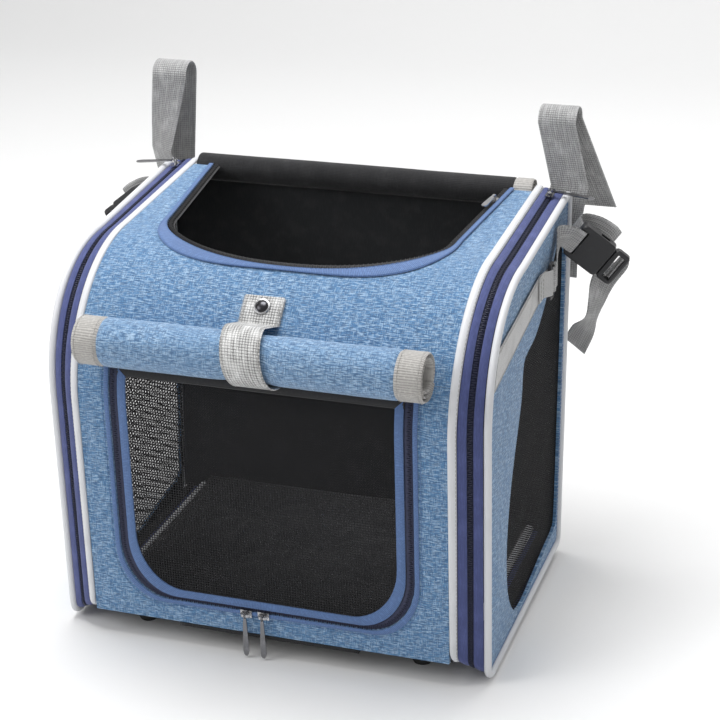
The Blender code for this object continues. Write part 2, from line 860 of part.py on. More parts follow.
def side_loop():
    """Depth and height of the side piping's middle, all the way round the side wall."""
    low_height = -side_sag_rear
    high_height = shoulder_height + top_rear_rise - side_drop_rear
    low = Vector((rear_at(low_height) - side_piping_radius, low_height))
    high = Vector((rear_at(high_height) - side_piping_radius, high_height))
    path = side_rim[1:-1]
    path += fillet(side_rim[-2], low, high, side_corner_radius, side_corner_steps)
    path += fillet(low, high, side_rim[1], side_corner_radius, side_corner_steps)
    return path


def drawn_in(loop, inset):
    """A loop moved inwards; every loop here runs so that inwards is to its left."""
    result = []
    for step, point in enumerate(loop):
        before = (point - loop[step - 1]).normalized()
        after = (loop[(step + 1) % len(loop)] - point).normalized()
        run = (before + after).normalized()
        result.append(point + Vector((-run.y, run.x)) * (inset / run.dot(after)))
    return result


def side_window(grow):
    """Outline of the side wall's window, moved outwards."""
    points = []
    for across, up in side_window_shares:
        height = lerp(-side_sag_front, shoulder_height - side_drop_front, up)
        points.append(Vector((lerp(side_set_back, rear_at(height), across), height)))
    return drawn_in(smooth_route(points, window_steps, closed=True), -grow)


def slab_rings(outline, start, end, sign):
    """A slab that stands across x between two places."""
    return turned([[Vector((x, *point)) for point in outline] for x in (start, end)], sign)


def make_side_wall(side, sign, wall):
    loop = side_loop()
    points = [Vector((half_side, *point)) for point in loop]
    frames = [(across_x, Vector((0, -run.y, run.x))) for run in route_runs(loop, closed=True)]
    rings = bead_rings(points, frames, side_piping_radius, side_piping_radius, piping_sides)
    piece(f"side_piping_{side}", "white_piping", wall, turned(rings, sign), closed=True, smooth=True)
    outline = drawn_in(loop, side_piping_radius + fit_gap)
    panel = piece(f"side_panel_{side}", "blue_cloth", wall, slab_rings(outline, side_inner, half_side, sign))
    start, end = side_inner - cutter_overrun, half_side + cutter_overrun
    change(panel, "DIFFERENCE", f"window_cutter_{side}", slab_rings(side_window(0), start, end, sign))
    end = side_inner - fit_gap
    rings = slab_rings(side_window(side_mesh_overlap), end - side_mesh_wall, end, sign)
    piece(f"side_mesh_{side}", "black_mesh", wall, rings)


def loop_bar_place(direction):
    """Middle of the side loop's front bar (-1) or rear bar (1)."""
    x = half_side + loop_stand_off + loop_bar / 2
    return Vector((x, loop_depth + direction * (loop_slot + loop_bar) / 2, loop_height))


def make_side_loop(side, sign, wall):
    """A rectangular loop whose two upright bars hold the reflective strip and the webbing."""
    half_height = webbing_width / 2 + loop_side_clearance + loop_bar / 2
    corners = []
    for direction, up in ((-1, -1), (1, -1), (1, 1), (-1, 1)):
        bar = loop_bar_place(direction)
        corners.append(Vector((bar.y, bar.z + up * half_height)))
    path = []
    for step in range(4):
        path += fillet(corners[step - 1], corners[step], corners[(step + 1) % 4], loop_bar, 2)
    points = [Vector((loop_bar_place(1).x, *point)) for point in path]
    frames = [(across_x, Vector((0, -run.y, run.x))) for run in route_runs(path, closed=True)]
    rings = bead_rings(points, frames, loop_bar / 2, loop_bar / 2, piping_sides)
    piece(f"side_loop_{side}", "black_plastic", wall, turned(rings, sign), closed=True, smooth=True)


def bar_turn_points(bar, start, end):
    """Points of webbing that goes round an upright bar, seen from above."""
    radius = loop_bar / 2 + fit_gap + webbing_wall / 2
    points = []
    for step in range(hem_steps + 1):
        turn = lerp(start, end, step / hem_steps)
        points.append(bar + Vector((math.cos(turn), math.sin(turn), 0)) * radius)
    return points


def rim_depth_at(height):
    """Depth of the side wall's front edge at a height."""
    for first, second in zip(side_rim, side_rim[1:]):
        if second.y <= height <= first.y:
            return lerp(second.x, first.x, (height - second.y) / (first.y - second.y))
    raise ValueError("the side wall has no edge at this height")


def make_reflective_strip(side, sign, wall):
    """A strip that widens towards the front and is hemmed round the loop's front bar."""
    bar = loop_bar_place(-1)
    lie = half_side + fit_gap + webbing_wall / 2
    over = lie + webbing_wall + fit_gap
    points = [Vector((lie, bar.y - strip_hem_grip, loop_height))]
    points += bar_turn_points(bar, math.pi, 0)
    points += [Vector((over, bar.y - reach, loop_height)) for reach in (strip_hem_grip, strip_hem_end)]
    rings = ribbon_rings(points, [upwards] * len(points), webbing_width, webbing_wall)
    inset = side_piping_radius + fit_gap * 2
    edges = []
    for direction in (-1, 1):
        height = strip_front_height + direction * strip_front_width / 2
        edges.append(Vector((lie, rim_depth_at(height) + inset, height)))
    lift = across_x * webbing_wall / 2
    front = [edges[0] + lift, edges[1] + lift, edges[1] - lift, edges[0] - lift]
    piece(f"reflective_strip_{side}", "reflective_tape", wall, turned([front, *rings], sign))


def buckle_place(along, aside, off):
    return buckle_centre + buckle_run * along + buckle_across * aside + buckle_face * off


def buckle_share_place(shares):
    return buckle_place(*(share * socket_length for share in shares))


def buckle_direction(shares):
    return buckle_run * shares[0] + buckle_across * shares[1] + buckle_face * shares[2]


def make_loop_webbing(side, sign, wall):
    """Webbing from the loop's rear bar through the socket's slot, with a loose tail behind it."""
    bar = loop_bar_place(1)
    aside = across_x * (webbing_wall + fit_gap) / 2
    grip = bar + backwards * webbing_hem_grip
    end = bar + backwards * webbing_hem_end
    hem = [end - aside, grip - aside, *bar_turn_points(bar, math.pi, 2 * math.pi), grip + aside]
    off = socket_thickness / 2
    free = [end + aside]
    free += [buckle_share_place(shares) for shares in webbing_front_shares]
    free += [
        buckle_place(socket_slot_middle - socket_slot, 0, off + 2 * webbing_wall),
        buckle_place(socket_slot_middle, 0, off),
        buckle_place(socket_slot_middle, 0, -off),
        buckle_place(socket_slot_middle - socket_slot, 0, -off - 2 * webbing_wall),
    ]
    free += [buckle_share_place(shares) for shares in webbing_tail_shares]
    upright = len(webbing_front_shares)
    across = [upwards] * upright + [buckle_across] * (len(free) - upright)
    points = hem + smooth_route(free, route_steps)
    widths = [upwards] * len(hem) + smooth_route(across, route_steps)
    rings = ribbon_rings(points, widths, webbing_width, webbing_wall)
    piece(f"loop_webbing_{side}", "grey_webbing", wall, turned(rings, sign))


def make_buckle(side, sign, wall, plug_way):
    axes = (buckle_run, buckle_across, buckle_face)
    half = socket_width / 2
    off = socket_thickness / 2
    rings = rounded_block_rings(buckle_centre, axes, (-buckle_half, -half, -off), (socket_mouth, half, off))
    socket = piece(f"buckle_socket_{side}", "black_plastic", wall, turned(rings, sign))
    slot_half = webbing_width / 2 + slot_side_clearance
    start = socket_slot_middle - socket_slot / 2
    end = socket_slot_middle + socket_slot / 2
    inner_half = half - socket_wall
    inner_off = off - socket_wall
    window_start = socket_mouth - socket_window_end - socket_window_length
    cuts = (
        ("slot", (start, -slot_half, -cutter_overrun), (end, slot_half, cutter_overrun)),
        ("hollow", (end + socket_floor, -inner_half, -inner_off),
         (socket_mouth + cutter_overrun, inner_half, inner_off)),
        ("window", (window_start, -half - cutter_overrun, -socket_window_height / 2),
         (socket_mouth - socket_window_end, half + cutter_overrun, socket_window_height / 2)),
    )
    for cut, low, high in cuts:
        rings = turned(box_rings(buckle_centre, axes, low, high), sign)
        change(socket, "DIFFERENCE", f"socket_{cut}_{side}", rings)
    base_start = socket_mouth + fit_gap
    half = plug_base_width / 2
    off = plug_base_thickness / 2
    rings = rounded_block_rings(buckle_centre, axes, (base_start, -half, -off), (buckle_half, half, off))
    plug = piece(f"buckle_plug_{side}", "black_plastic", plug_way, turned(rings, sign))
    low = (plug_slot_middle - plug_slot / 2, -slot_half, -cutter_overrun)
    high = (plug_slot_middle + plug_slot / 2, slot_half, cutter_overrun)
    change(plug, "DIFFERENCE", f"plug_slot_{side}", turned(box_rings(buckle_centre, axes, low, high), sign))
    tip = base_start - plug_prong_length
    root = base_start + plug_prong_root
    off = plug_prong_thickness / 2
    outer = inner_half - plug_clearance
    spans = (
        ("upper", outer - plug_prong_width, outer),
        ("lower", -outer, -outer + plug_prong_width),
        ("tongue", -plug_tongue_width / 2, plug_tongue_width / 2),
    )
    for prong, start, end in spans:
        rings = box_rings(buckle_centre, axes, (tip, start, -off), (root, end, off))
        change(plug, "UNION", f"plug_{prong}_{side}", turned(rings, sign))


def make_stabiliser_strap(side, sign, wall):
    """A strap that hangs from the plug's slot and is sewn behind the side wall's rear piping."""
    off = plug_base_thickness / 2
    points = [
        buckle_place(plug_slot_middle - plug_strap_lean, 0, off - webbing_wall),
        buckle_place(plug_slot_middle + plug_strap_lean, 0, -off - webbing_wall),
    ]
    across = [buckle_across, buckle_across]
    for place, width_direction in stabiliser_shares:
        points.append(buckle_share_place(place))
        across.append(buckle_direction(width_direction))
    anchor_depth = rear_at(anchor_height) + anchor_stand_off
    points.append(Vector((half_side + anchor_reach, anchor_depth, anchor_height)))
    across.append(Vector((buckle_run.x, 0, buckle_run.z)))
    points = smooth_route(points, route_steps)
    across = smooth_route(across, route_steps)
    rings = ribbon_rings(points, across, webbing_width, webbing_wall)
    piece(f"stabiliser_strap_{side}", "grey_webbing", wall, turned(rings, sign))


def make_slider(name, carrier, seat, travel, out):
    """A zip slider with its bridge; gives back the slider and the middle of the bridge's bar."""
    side = out.cross(travel)
    half = slider_length / 2
    low = (-half, -slider_width / 2, 0)
    high = (half, slider_width / 2, slider_wall)
    slider = piece(name, "zip_metal", carrier, box_rings(seat, (travel, side, out), low, high))
    foot = slider_wall / 2
    top = slider_wall + bridge_height
    outer = half - bridge_inset
    inner = outer - bridge_bar
    staple = (
        (-outer, foot), (-inner, foot), (-inner, top - bridge_bar), (inner, top - bridge_bar),
        (inner, foot), (outer, foot), (outer, top - bridge_bar), (inner, top), (-inner, top),
        (-outer, top - bridge_bar),
    )
    rings = plan_rings(seat, (travel, out, side), staple, -bridge_width / 2, bridge_width / 2)
    change(slider, "UNION", f"{name}_bridge", rings)
    return slider, seat + out * (top - bridge_bar / 2)


def pull_leaf_rings(middle, hang, travel, start, length):
    """A flat leaf that hangs from a middle, widening towards its rounded tip."""
    neck = pull_neck_width / 2
    right = [(start, neck)]
    right += [(share * length, width_share * pull_leaf_width) for share, width_share in pull_leaf_shares]
    outline = right + [(along, -aside) for along, aside in right[::-1]]
    lift = hang.cross(travel)
    return plan_rings(middle, (hang, travel, lift), outline, -pull_wall / 2, pull_wall / 2)


def make_pull(name, carrier, middle, hang, travel):
    """A pull whose ring goes round the bridge's bar."""
    lift = hang.cross(travel)
    points = []
    frames = []
    for step in range(ring_sides):
        turn = 2 * math.pi * step / ring_sides
        radial = hang * math.cos(turn) + lift * math.sin(turn)
        points.append(middle + radial * pull_ring_radius)
        frames.append((radial, travel))
    wire = pull_ring_wire / 2
    pull = piece(name, "zip_metal", carrier, bead_rings(points, frames, wire, wire, wire_sides), closed=True)
    rings = pull_leaf_rings(middle, hang, travel, pull_ring_radius, pull_length)
    change(pull, "UNION", f"{name}_leaf", rings)


def make_door(basket):
    hinge = on_front(0, door_hinge_height, 0)
    door = pivot("door_hinge", hinge, basket)
    edge = door_outline(fit_gap, fit_gap, 0)
    inner = door_outline(door_zip_side, door_zip_low, 0)
    piece("door_zip", "navy_zip", door, band_rings(on_front, edge, inner, -zip_wall, 0))
    outer = door_outline(door_zip_side + fit_gap, door_zip_low + fit_gap, 0)
    inner = door_outline(door_binding_side, door_binding_low, door_binding_top)
    low = door_binding_rise - door_binding_wall
    rings = band_rings(on_front, outer, inner, low, door_binding_rise)
    piece("door_binding", "royal_binding", door, rings, closed=True)
    outline = door_outline(
        door_binding_side + fit_gap, door_binding_low + fit_gap, door_binding_top + fit_gap)
    middle = door_binding_rise - door_binding_wall / 2
    low, high = middle - door_mesh_wall / 2, middle + door_mesh_wall / 2
    rings = []
    for x, height in outline[: len(outline) // 2]:
        rings.append([
            on_front(x, height, high), on_front(-x, height, high),
            on_front(-x, height, low), on_front(x, height, low),
        ])
    piece("door_mesh", "black_mesh", door, rings)
    for side, sign in (("left", -1), ("right", 1)):
        x = door_slider_middle_x + sign * door_slider_half_spacing
        seat = on_front(x, door_low_edge - door_slider_drop, door_slider_rise)
        way = pivot(f"door_slider_{side}_way", seat, door)
        _, middle = make_slider(f"door_slider_{side}", way, seat, across_x * sign, -backwards)
        swing = pivot(f"door_pull_{side}_swing", middle, way)
        make_pull(f"door_pull_{side}", swing, middle, -upwards, across_x)


def make_gusset_slider(side, sign, basket):
    frames = gusset_frames(1 / 2, 0)
    head, knee = frames[0][0], frames[top_steps][0]
    travel = (knee - head).normalized()
    out = frames[0][2]
    share = (head.y - gusset_slider_depth) / (head.y - knee.y)
    seat = head.lerp(knee, share) + out * (coil_rise + fit_gap)
    hang = Vector((math.cos(gusset_pull_droop), 0, -math.sin(gusset_pull_droop)))
    hang = (hang - travel * hang.dot(travel)).normalized()
    (seat, travel, out, hang), = turned([[seat, travel, out, hang]], sign)
    way = pivot(f"gusset_slider_{side}_way", seat, basket)
    _, middle = make_slider(f"gusset_slider_{side}", way, seat, travel, out)
    swing = pivot(f"gusset_pull_{side}_swing", middle, way)
    make_pull(f"gusset_pull_{side}", swing, middle, hang, travel)


def make_top_slider(basket):
    head, knee = opening_outline(0)[-1], opening_outline(0)[-2]
    share = (head[1] - top_slider_depth) / (head[1] - knee[1])
    x = lerp(head[0], knee[0], share) - slider_width / 2 - fit_gap * 2
    seat = on_top(x, top_slider_depth, fit_gap)
    travel = (on_top(knee[0], knee[1], 0) - on_top(head[0], head[1], 0)).normalized()
    out = Vector((0, *profile_place(top_slider_depth, 0)[1]))
    way = pivot("top_zip_slider_way", seat, basket)
    slider, middle = make_slider("top_zip_slider", way, seat, travel, out)
    rings = pull_leaf_rings(middle, travel, across_x, 0, fixed_pull_length)
    change(slider, "UNION", "top_zip_slider_leaf", rings)


def spiral_points(centre, radius, cloth, gap, turns, end_turn):
    """Middle of a rolled cloth in depth and height, from its outer end inwards."""
    points = []
    steps = round(turns * roll_steps_per_turn)
    for step in range(steps + 1):
        turn = 2 * math.pi * turns * step / steps
        reach = radius - cloth / 2 - (cloth + gap) * turn / (2 * math.pi)
        angle = end_turn - turn
        points.append(centre + Vector((0, math.cos(angle), math.sin(angle))) * reach)
    return points


def make_roll(name, finish, carrier, points, cloth, start, end):
    """A stretch of rolled cloth between two places along x."""
    middle = across_x * lerp(start, end, 1 / 2)
    points = [point + middle for point in points]
    rings = ribbon_rings(points, [across_x] * len(points), end - start, cloth)
    piece(name, finish, carrier, rings, smooth=True)


def make_rolls(basket):
    reach = flap_roll_radius
    points = spiral_points(flap_centre, reach, flap_cloth, flap_turn_gap, flap_turns, flap_roll_end_turn)
    inner = flap_roll_half_length - flap_binding_length
    outer = flap_roll_half_length
    make_roll("privacy_flap_roll", "blue_cloth", basket, points, flap_cloth, -inner, inner)
    start = inner + fit_gap
    make_roll("privacy_flap_binding_left", "grey_binding", basket, points, flap_cloth, -outer, -start)
    make_roll("privacy_flap_binding_right", "grey_binding", basket, points, flap_cloth, start, outer)
    reach = cover_roll_radius
    points = spiral_points(cover_centre, reach, cover_cloth, cover_turn_gap, cover_turns, cover_roll_end_turn)
    half = cover_roll_half_length
    make_roll("top_flap_roll", "black_cloth", basket, points, cover_cloth, -half, half)


def touch_turn(point, direction):
    """Turn round the rolled front flap at which a straight strap from a point meets it."""
    offset = point - flap_centre
    away = math.hypot(offset.y, offset.z)
    return math.atan2(offset.z, offset.y) + direction * math.acos(strap_orbit / away)


def make_flap_strap(basket):
    lie = fit_gap + flap_strap_wall / 2
    foot = on_front(0, flap_strap_foot_height, lie)
    depths = (flap_tab_start_depth, snap_depth, flap_tab_end_depth)
    tab = [on_top(0, depth, snap_stud_height + lie) for depth in depths]
    start = touch_turn(foot, -1)
    end = touch_turn(tab[0], 1) - 2 * math.pi
    points = [foot]
    for step in range(strap_arc_steps + 1):
        turn = lerp(start, end, step / strap_arc_steps)
        points.append(flap_centre + Vector((0, math.cos(turn), math.sin(turn))) * strap_orbit)
    leave = points[-1].copy()
    shift = flap_strap_tab_x - flap_strap_foot_x
    for step, point in enumerate(points):
        point.x = flap_strap_foot_x + shift * max(step - 1, 0) / strap_arc_steps
    for point in tab:
        point.x = flap_strap_tab_x
    points += tab
    rings = ribbon_rings(points, [across_x] * len(points), flap_strap_width, flap_strap_wall)
    piece("flap_strap", "grey_binding", basket, rings)
    leave.x = flap_strap_tab_x
    swing = pivot("snap_swing", leave, basket)
    place, out = profile_place(snap_depth, 0)
    rise = snap_stud_height + lie + flap_strap_wall / 2 + fit_gap
    stations = [(share * snap_height, width * snap_radius) for share, width in snap_shares]
    seat = Vector((flap_strap_tab_x, *(place + out * rise)))
    rings = turned_shape_rings(seat, Vector((0, *out)), stations)
    piece("snap_cap", "zip_metal", swing, rings, smooth=True)


def make_bar_strap(side, sign, basket, neck_turn, neck_x, head_x, tail_x, top):
    """A wide strap sewn low on the back panel, up over the handlebar and down behind itself."""
    half = bar_strap_width / 2
    head_height = top - bar_strap_wall / 2 - bar_loop_radius
    rows = (
        (bar_strap_foot_x, bar_strap_foot_height, 0),
        (bar_strap_foot_x, bar_strap_crease_height, 0),
        (neck_x, bar_strap_neck_height, neck_turn),
        (head_x, head_height, 0),
    )
    points = []
    across = []
    for x, height, turn in rows:
        depth = min(rear_at(height), rear_head_depth) + bar_strap_face + half * math.sin(turn)
        points.append(Vector((x, depth, height)))
        across.append(Vector((math.cos(turn), math.sin(turn), 0)))
    points = straight_route(points, route_steps)
    across = straight_route(across, route_steps)
    middle = points[-1] + backwards * bar_loop_radius
    for step in range(1, strap_arc_steps + 1):
        turn = math.pi * (1 - step / strap_arc_steps)
        points.append(middle + Vector((0, math.cos(turn), math.sin(turn))) * bar_loop_radius)
    tail = Vector((tail_x, points[-1].y, bar_strap_tail_height))
    points += [points[-1].lerp(tail, step / route_steps) for step in range(1, route_steps + 1)]
    across += [across_x] * (len(points) - len(across))
    rings = ribbon_rings(points, across, bar_strap_width, bar_strap_wall)
    piece(f"handlebar_strap_{side}", "grey_webbing", basket, turned(rings, sign))


def main():
    remove_old_objects()
    basket = bpy.data.objects.new("basket", None)
    bpy.context.scene.collection.objects.link(basket)
    basket.location = (0, -(rear_reach - front_reach) / 2, floor_drop)
    make_front_and_top(basket)
    make_top_trim(basket)
    make_back(basket)
    make_base(basket)
    make_cushion(basket)
    make_rolls(basket)
    make_flap_strap(basket)
    make_door(basket)
    make_top_slider(basket)
    for side, sign in (("left", -1), ("right", 1)):
        wall = pivot(f"side_wall_{side}_hinge", Vector((sign * side_inner, rear_at(0), 0)), basket)
        make_gusset(side, sign, basket, wall)
        make_front_piping(side, sign, basket)
        make_gusset_slider(side, sign, basket)
        make_side_wall(side, sign, wall)
        make_side_loop(side, sign, wall)
        make_reflective_strip(side, sign, wall)
        make_loop_webbing(side, sign, wall)
        centre = turned([[buckle_centre]], sign)[0][0]
        make_buckle(side, sign, wall, pivot(f"buckle_plug_{side}_way", centre, wall))
        make_stabiliser_strap(side, sign, wall)
    places = (left_neck_x, left_head_x, left_tail_x, left_strap_top)
    make_bar_strap("left", -1, basket, left_neck_turn, *places)
    places = (right_neck_x, right_head_x, right_tail_x, right_strap_top)
    make_bar_strap("right", 1, basket, 0, *places)


if __name__ == "__main__":
    main()
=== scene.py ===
"""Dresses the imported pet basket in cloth, webbing, zips and metal. Laid out as a Blender add-on.

Depths run backwards from the front face and heights upwards from the front panel's lower edge;
basket_origin moves them into the frame. Right side pieces are mirrored for the left.
"""

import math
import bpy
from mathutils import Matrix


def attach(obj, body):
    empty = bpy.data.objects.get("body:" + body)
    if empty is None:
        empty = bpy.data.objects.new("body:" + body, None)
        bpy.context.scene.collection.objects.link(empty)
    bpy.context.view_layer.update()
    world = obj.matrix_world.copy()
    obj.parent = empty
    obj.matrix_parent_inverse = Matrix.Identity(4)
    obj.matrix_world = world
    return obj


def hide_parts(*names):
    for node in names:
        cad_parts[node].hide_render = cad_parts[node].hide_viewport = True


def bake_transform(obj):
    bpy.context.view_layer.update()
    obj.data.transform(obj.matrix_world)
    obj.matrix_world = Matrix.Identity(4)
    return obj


bl_info = {
    "name": "Pet basket dressing",
    "version": (1, 0, 0),
    "blender": (4, 5, 0),
    "location": "3D View > Sidebar > Basket",
    "description": "Cloth, webbing, zips, mesh and metal of a soft pet basket",
    "category": "Object",
}

import bmesh
import bpy
import numpy as np
from mathutils import Matrix, Vector, kdtree, noise

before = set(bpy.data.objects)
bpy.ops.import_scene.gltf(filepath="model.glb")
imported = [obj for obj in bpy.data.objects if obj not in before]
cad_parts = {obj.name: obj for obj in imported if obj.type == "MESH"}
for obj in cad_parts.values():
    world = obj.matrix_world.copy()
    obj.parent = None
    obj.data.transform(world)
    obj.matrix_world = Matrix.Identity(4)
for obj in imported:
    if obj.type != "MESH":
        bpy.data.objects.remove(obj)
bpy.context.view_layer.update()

# Sizes of the basket, as in the part's own source
half_front = 0.1775
half_side = 0.205
front_straight_height = 0.215
shoulder_depth = 0.130
shoulder_height = 0.341
shoulder_low_handle = 0.057
shoulder_high_handle = 0.082
top_rear_rise = 0.011
rear_foot_depth = 0.276
rear_head_depth = 0.303
panel_wall = 0.004
side_set_back = 0.014
side_drop_front = 0.008
side_drop_rear = 0.005
side_sag_front = 0.018
side_sag_rear = 0.012
lower_corner_radius = 0.012
side_corner_radius = 0.008
top_end_gap = 0.007
low_end_gap = 0.008
zip_half_width = 0.0038
zip_side_gap = 0.0007
side_seam_reach = 0.0062
front_piping_half_width = 0.004
front_piping_half_height = 0.0025
front_piping_drop = 0.001
side_piping_radius = 0.0035
band_wall = 0.002
fit_gap = 0.0003
door_half_width = 0.1425
door_low_edge = 0.023
door_hinge_height = 0.251
door_corner_width = 0.045
door_corner_height = 0.055
opening_front_depth = 0.079
opening_full_depth = 0.150
opening_half_width = 0.139
opening_rear_half_width = 0.152
opening_roundness_share = 2 / 2.2
top_end_depth = 0.2817
flap_centre = (-0.00814, 0.281)
flap_roll_radius = 0.0245
cover_centre = (0.297, 0.3455)
cover_roll_radius = 0.015
strap_orbit = 0.0256
loop_depth = 0.203
loop_height = 0.294
loop_bar = 0.0034
loop_slot = 0.0075
loop_x = half_side + 0.0053 + loop_bar / 2
webbing_width = 0.025
webbing_wall = 0.0014
buckle_centre = Vector((0.240, 0.268, 0.2995))
buckle_run = Vector((0.785, 0.120, -0.607)).normalized()
buckle_across = Vector((0.120, -0.980, 0.020)).cross(buckle_run).normalized()
buckle_face = buckle_run.cross(buckle_across)
socket_length = 0.038
buckle_half = 0.0275
bar_strap_x = 0.196
basket_origin = Vector((0, -0.14908, 0.0233))
across_x = Vector((1, 0, 0))
backwards = Vector((0, 1, 0))
upwards = Vector((0, 0, 1))

# Edges sharper than this are shaded as creases
crease_angle = math.radians(50)
# How far from its seams a panel's cloth is slack, how far it puckers, and where it lies flat
slack_reach = 0.022
pucker_reach = 0.010
seam_reach = 0.003
# Height of a stitch's middle over the cloth of the back panel and of the webbing
stitch_rise = 0.0009
# The reflective strip's height over the side wall, and the rows of points in its wide part
strip_rise = 0.0013
strip_steps = 28

webbing_front_shares = ((-0.93, -0.30, 0.71), (-1.05, -0.12, 0.50), (-0.86, 0.0, 0.30))
webbing_tail_shares = (
    (-0.84, 0.09, -0.43), (-0.72, 0.18, -0.59), (-0.38, 0.31, -0.63), (0.00, 0.37, -0.58),
    (0.21, 0.34, -0.50),
)
stabiliser_shares = (
    ((0.55, 0.00, -0.28), (0.3, 0.9, 0.0)),
    ((0.57, -0.02, -0.40), (0.85, 0.5, 0.0)),
    ((0.59, -0.16, -0.50), (1.0, 0.0, 0.0)),
    ((0.62, -0.50, -0.48), (1.0, 0.0, -0.2)),
    ((0.70, -0.82, -0.43), (0.95, 0.0, -0.45)),
    ((0.87, -1.18, -0.46), (0.75, 0.0, -0.75)),
    ((1.07, -1.65, -0.64), (0.6, 0.0, -0.9)),
    ((1.18, -2.18, -0.84), (0.95, 0.0, -0.2)),
)
# Pieces of the snap, with the height and radius of each ring of points
snap_parts = (
    ("snap_rim", "chrome", ("snap_cap",), (
        (0.0, 0.0064), (0.0003, 0.0073), (0.0008, 0.0075), (0.0013, 0.0072), (0.0014, 0.0062),
        (0.0009, 0.0058))),
    ("snap_dome", "gunmetal", (), (
        (0.0006, 0.0057), (0.0011, 0.0056), (0.0018, 0.0048), (0.0024, 0.0034),
        (0.0027, 0.0016))),
)
side_names = (("left", -1), ("right", 1))


class BasketSizes(bpy.types.PropertyGroup):
    """Sizes of the cloth and its sewing."""

    fold_depth: bpy.props.FloatProperty(
        name="Fold depth", description="How far the panels' cloth stands proud between seams",
        default=0.0014, min=0, max=0.004, unit="LENGTH")
    panel_cell: bpy.props.FloatProperty(
        name="Panel cell", description="Side of the small faces that the panels are cut into",
        default=0.0065, min=0.003, max=0.02, unit="LENGTH")
    stitch_length: bpy.props.FloatProperty(
        name="Stitch length", description="Length of one stitch", default=0.0030,
        min=0.001, max=0.01, unit="LENGTH")
    stitch_gap: bpy.props.FloatProperty(
        name="Stitch gap", description="Gap between two stitches", default=0.0010,
        min=0.0002, max=0.01, unit="LENGTH")
    thread_width: bpy.props.FloatProperty(
        name="Thread width", description="Width of the sewing thread", default=0.0006,
        min=0.0002, max=0.002, unit="LENGTH")
    coil_pitch: bpy.props.FloatProperty(
        name="Coil pitch", description="Distance between two turns of a zip's coil",
        default=0.0021, min=0.001, max=0.004, unit="LENGTH")


class BasketColours(bpy.types.PropertyGroup):
    """Colours of the finishes, as linear values."""

    blue: bpy.props.FloatVectorProperty(
        name="Blue", description="Middle tone of the heathered cloth", subtype="COLOR", size=3,
        default=(0.104, 0.246, 0.455), min=0, max=1)
    pale_blue: bpy.props.FloatVectorProperty(
        name="Pale blue", description="Light slubs of the heathered cloth", subtype="COLOR",
        size=3, default=(0.410, 0.570, 0.750), min=0, max=1)
    deep_blue: bpy.props.FloatVectorProperty(
        name="Deep blue", description="Dark threads of the heathered cloth", subtype="COLOR",
        size=3, default=(0.022, 0.075, 0.175), min=0, max=1)
    royal: bpy.props.FloatVectorProperty(
        name="Royal", description="Binding round the door and the top opening", subtype="COLOR",
        size=3, default=(0.088, 0.172, 0.380), min=0, max=1)
    navy: bpy.props.FloatVectorProperty(
        name="Navy", description="Gusset bands", subtype="COLOR", size=3,
        default=(0.075, 0.095, 0.250), min=0, max=1)
    grey: bpy.props.FloatVectorProperty(
        name="Grey", description="Binding and strap of the rolled front flap", subtype="COLOR",
        size=3, default=(0.440, 0.425, 0.405), min=0, max=1)
    webbing: bpy.props.FloatVectorProperty(
        name="Webbing", description="Bar straps and side webbing", subtype="COLOR",
        size=3, default=(0.430, 0.430, 0.432), min=0, max=1)
    reflective: bpy.props.FloatVectorProperty(
        name="Reflective", description="Strips on the side walls", subtype="COLOR", size=3,
        default=(0.500, 0.500, 0.500), min=0, max=1)
    piping: bpy.props.FloatVectorProperty(
        name="Piping", description="Piping along the edges", subtype="COLOR", size=3,
        default=(0.680, 0.690, 0.715), min=0, max=1)
    black: bpy.props.FloatVectorProperty(
        name="Black", description="Black cloth, mesh and plastic", subtype="COLOR", size=3,
        default=(0.014, 0.014, 0.016), min=0, max=1)


# Shader maths


class Value:
    """A shader socket that takes part in Python sums."""

    def __init__(self, shade, socket):
        self.shade = shade
        self.socket = socket

    def math(self, operation, *values):
        inputs = dict(enumerate(values))
        return self.shade.node("ShaderNodeMath", {"operation": operation}, inputs)

    def __add__(self, other):
        return self.math("ADD", self, other)

    def __radd__(self, other):
        return self.math("ADD", other, self)

    def __sub__(self, other):
        return self.math("SUBTRACT", self, other)

    def __rsub__(self, other):
        return self.math("SUBTRACT", other, self)

    def __mul__(self, other):
        return self.math("MULTIPLY", self, other)

    def __rmul__(self, other):
        return self.math("MULTIPLY", other, self)

    def sine(self):
        return self.math("SINE", self)

    def floor(self):
        return self.math("FLOOR", self)

    def fraction(self):
        return self.math("FRACT", self)

    def root(self):
        return self.math("SQRT", self)

    def larger(self, other):
        return self.math("MAXIMUM", self, other)

    def odd(self):
        return self.math("FLOORED_MODULO", self, 2.0)

    def rise(self, low, high):
        """0 below low, 1 above high and smooth in between."""
        settings = {"interpolation_type": "SMOOTHSTEP"}
        return self.shade.node("ShaderNodeMapRange", settings, {0: self, 1: low, 2: high})

    def parts(self):
        """The three parts of a vector."""
        return [self.shade.node("ShaderNodeSeparateXYZ", {}, {0: self}, step) for step in range(3)]


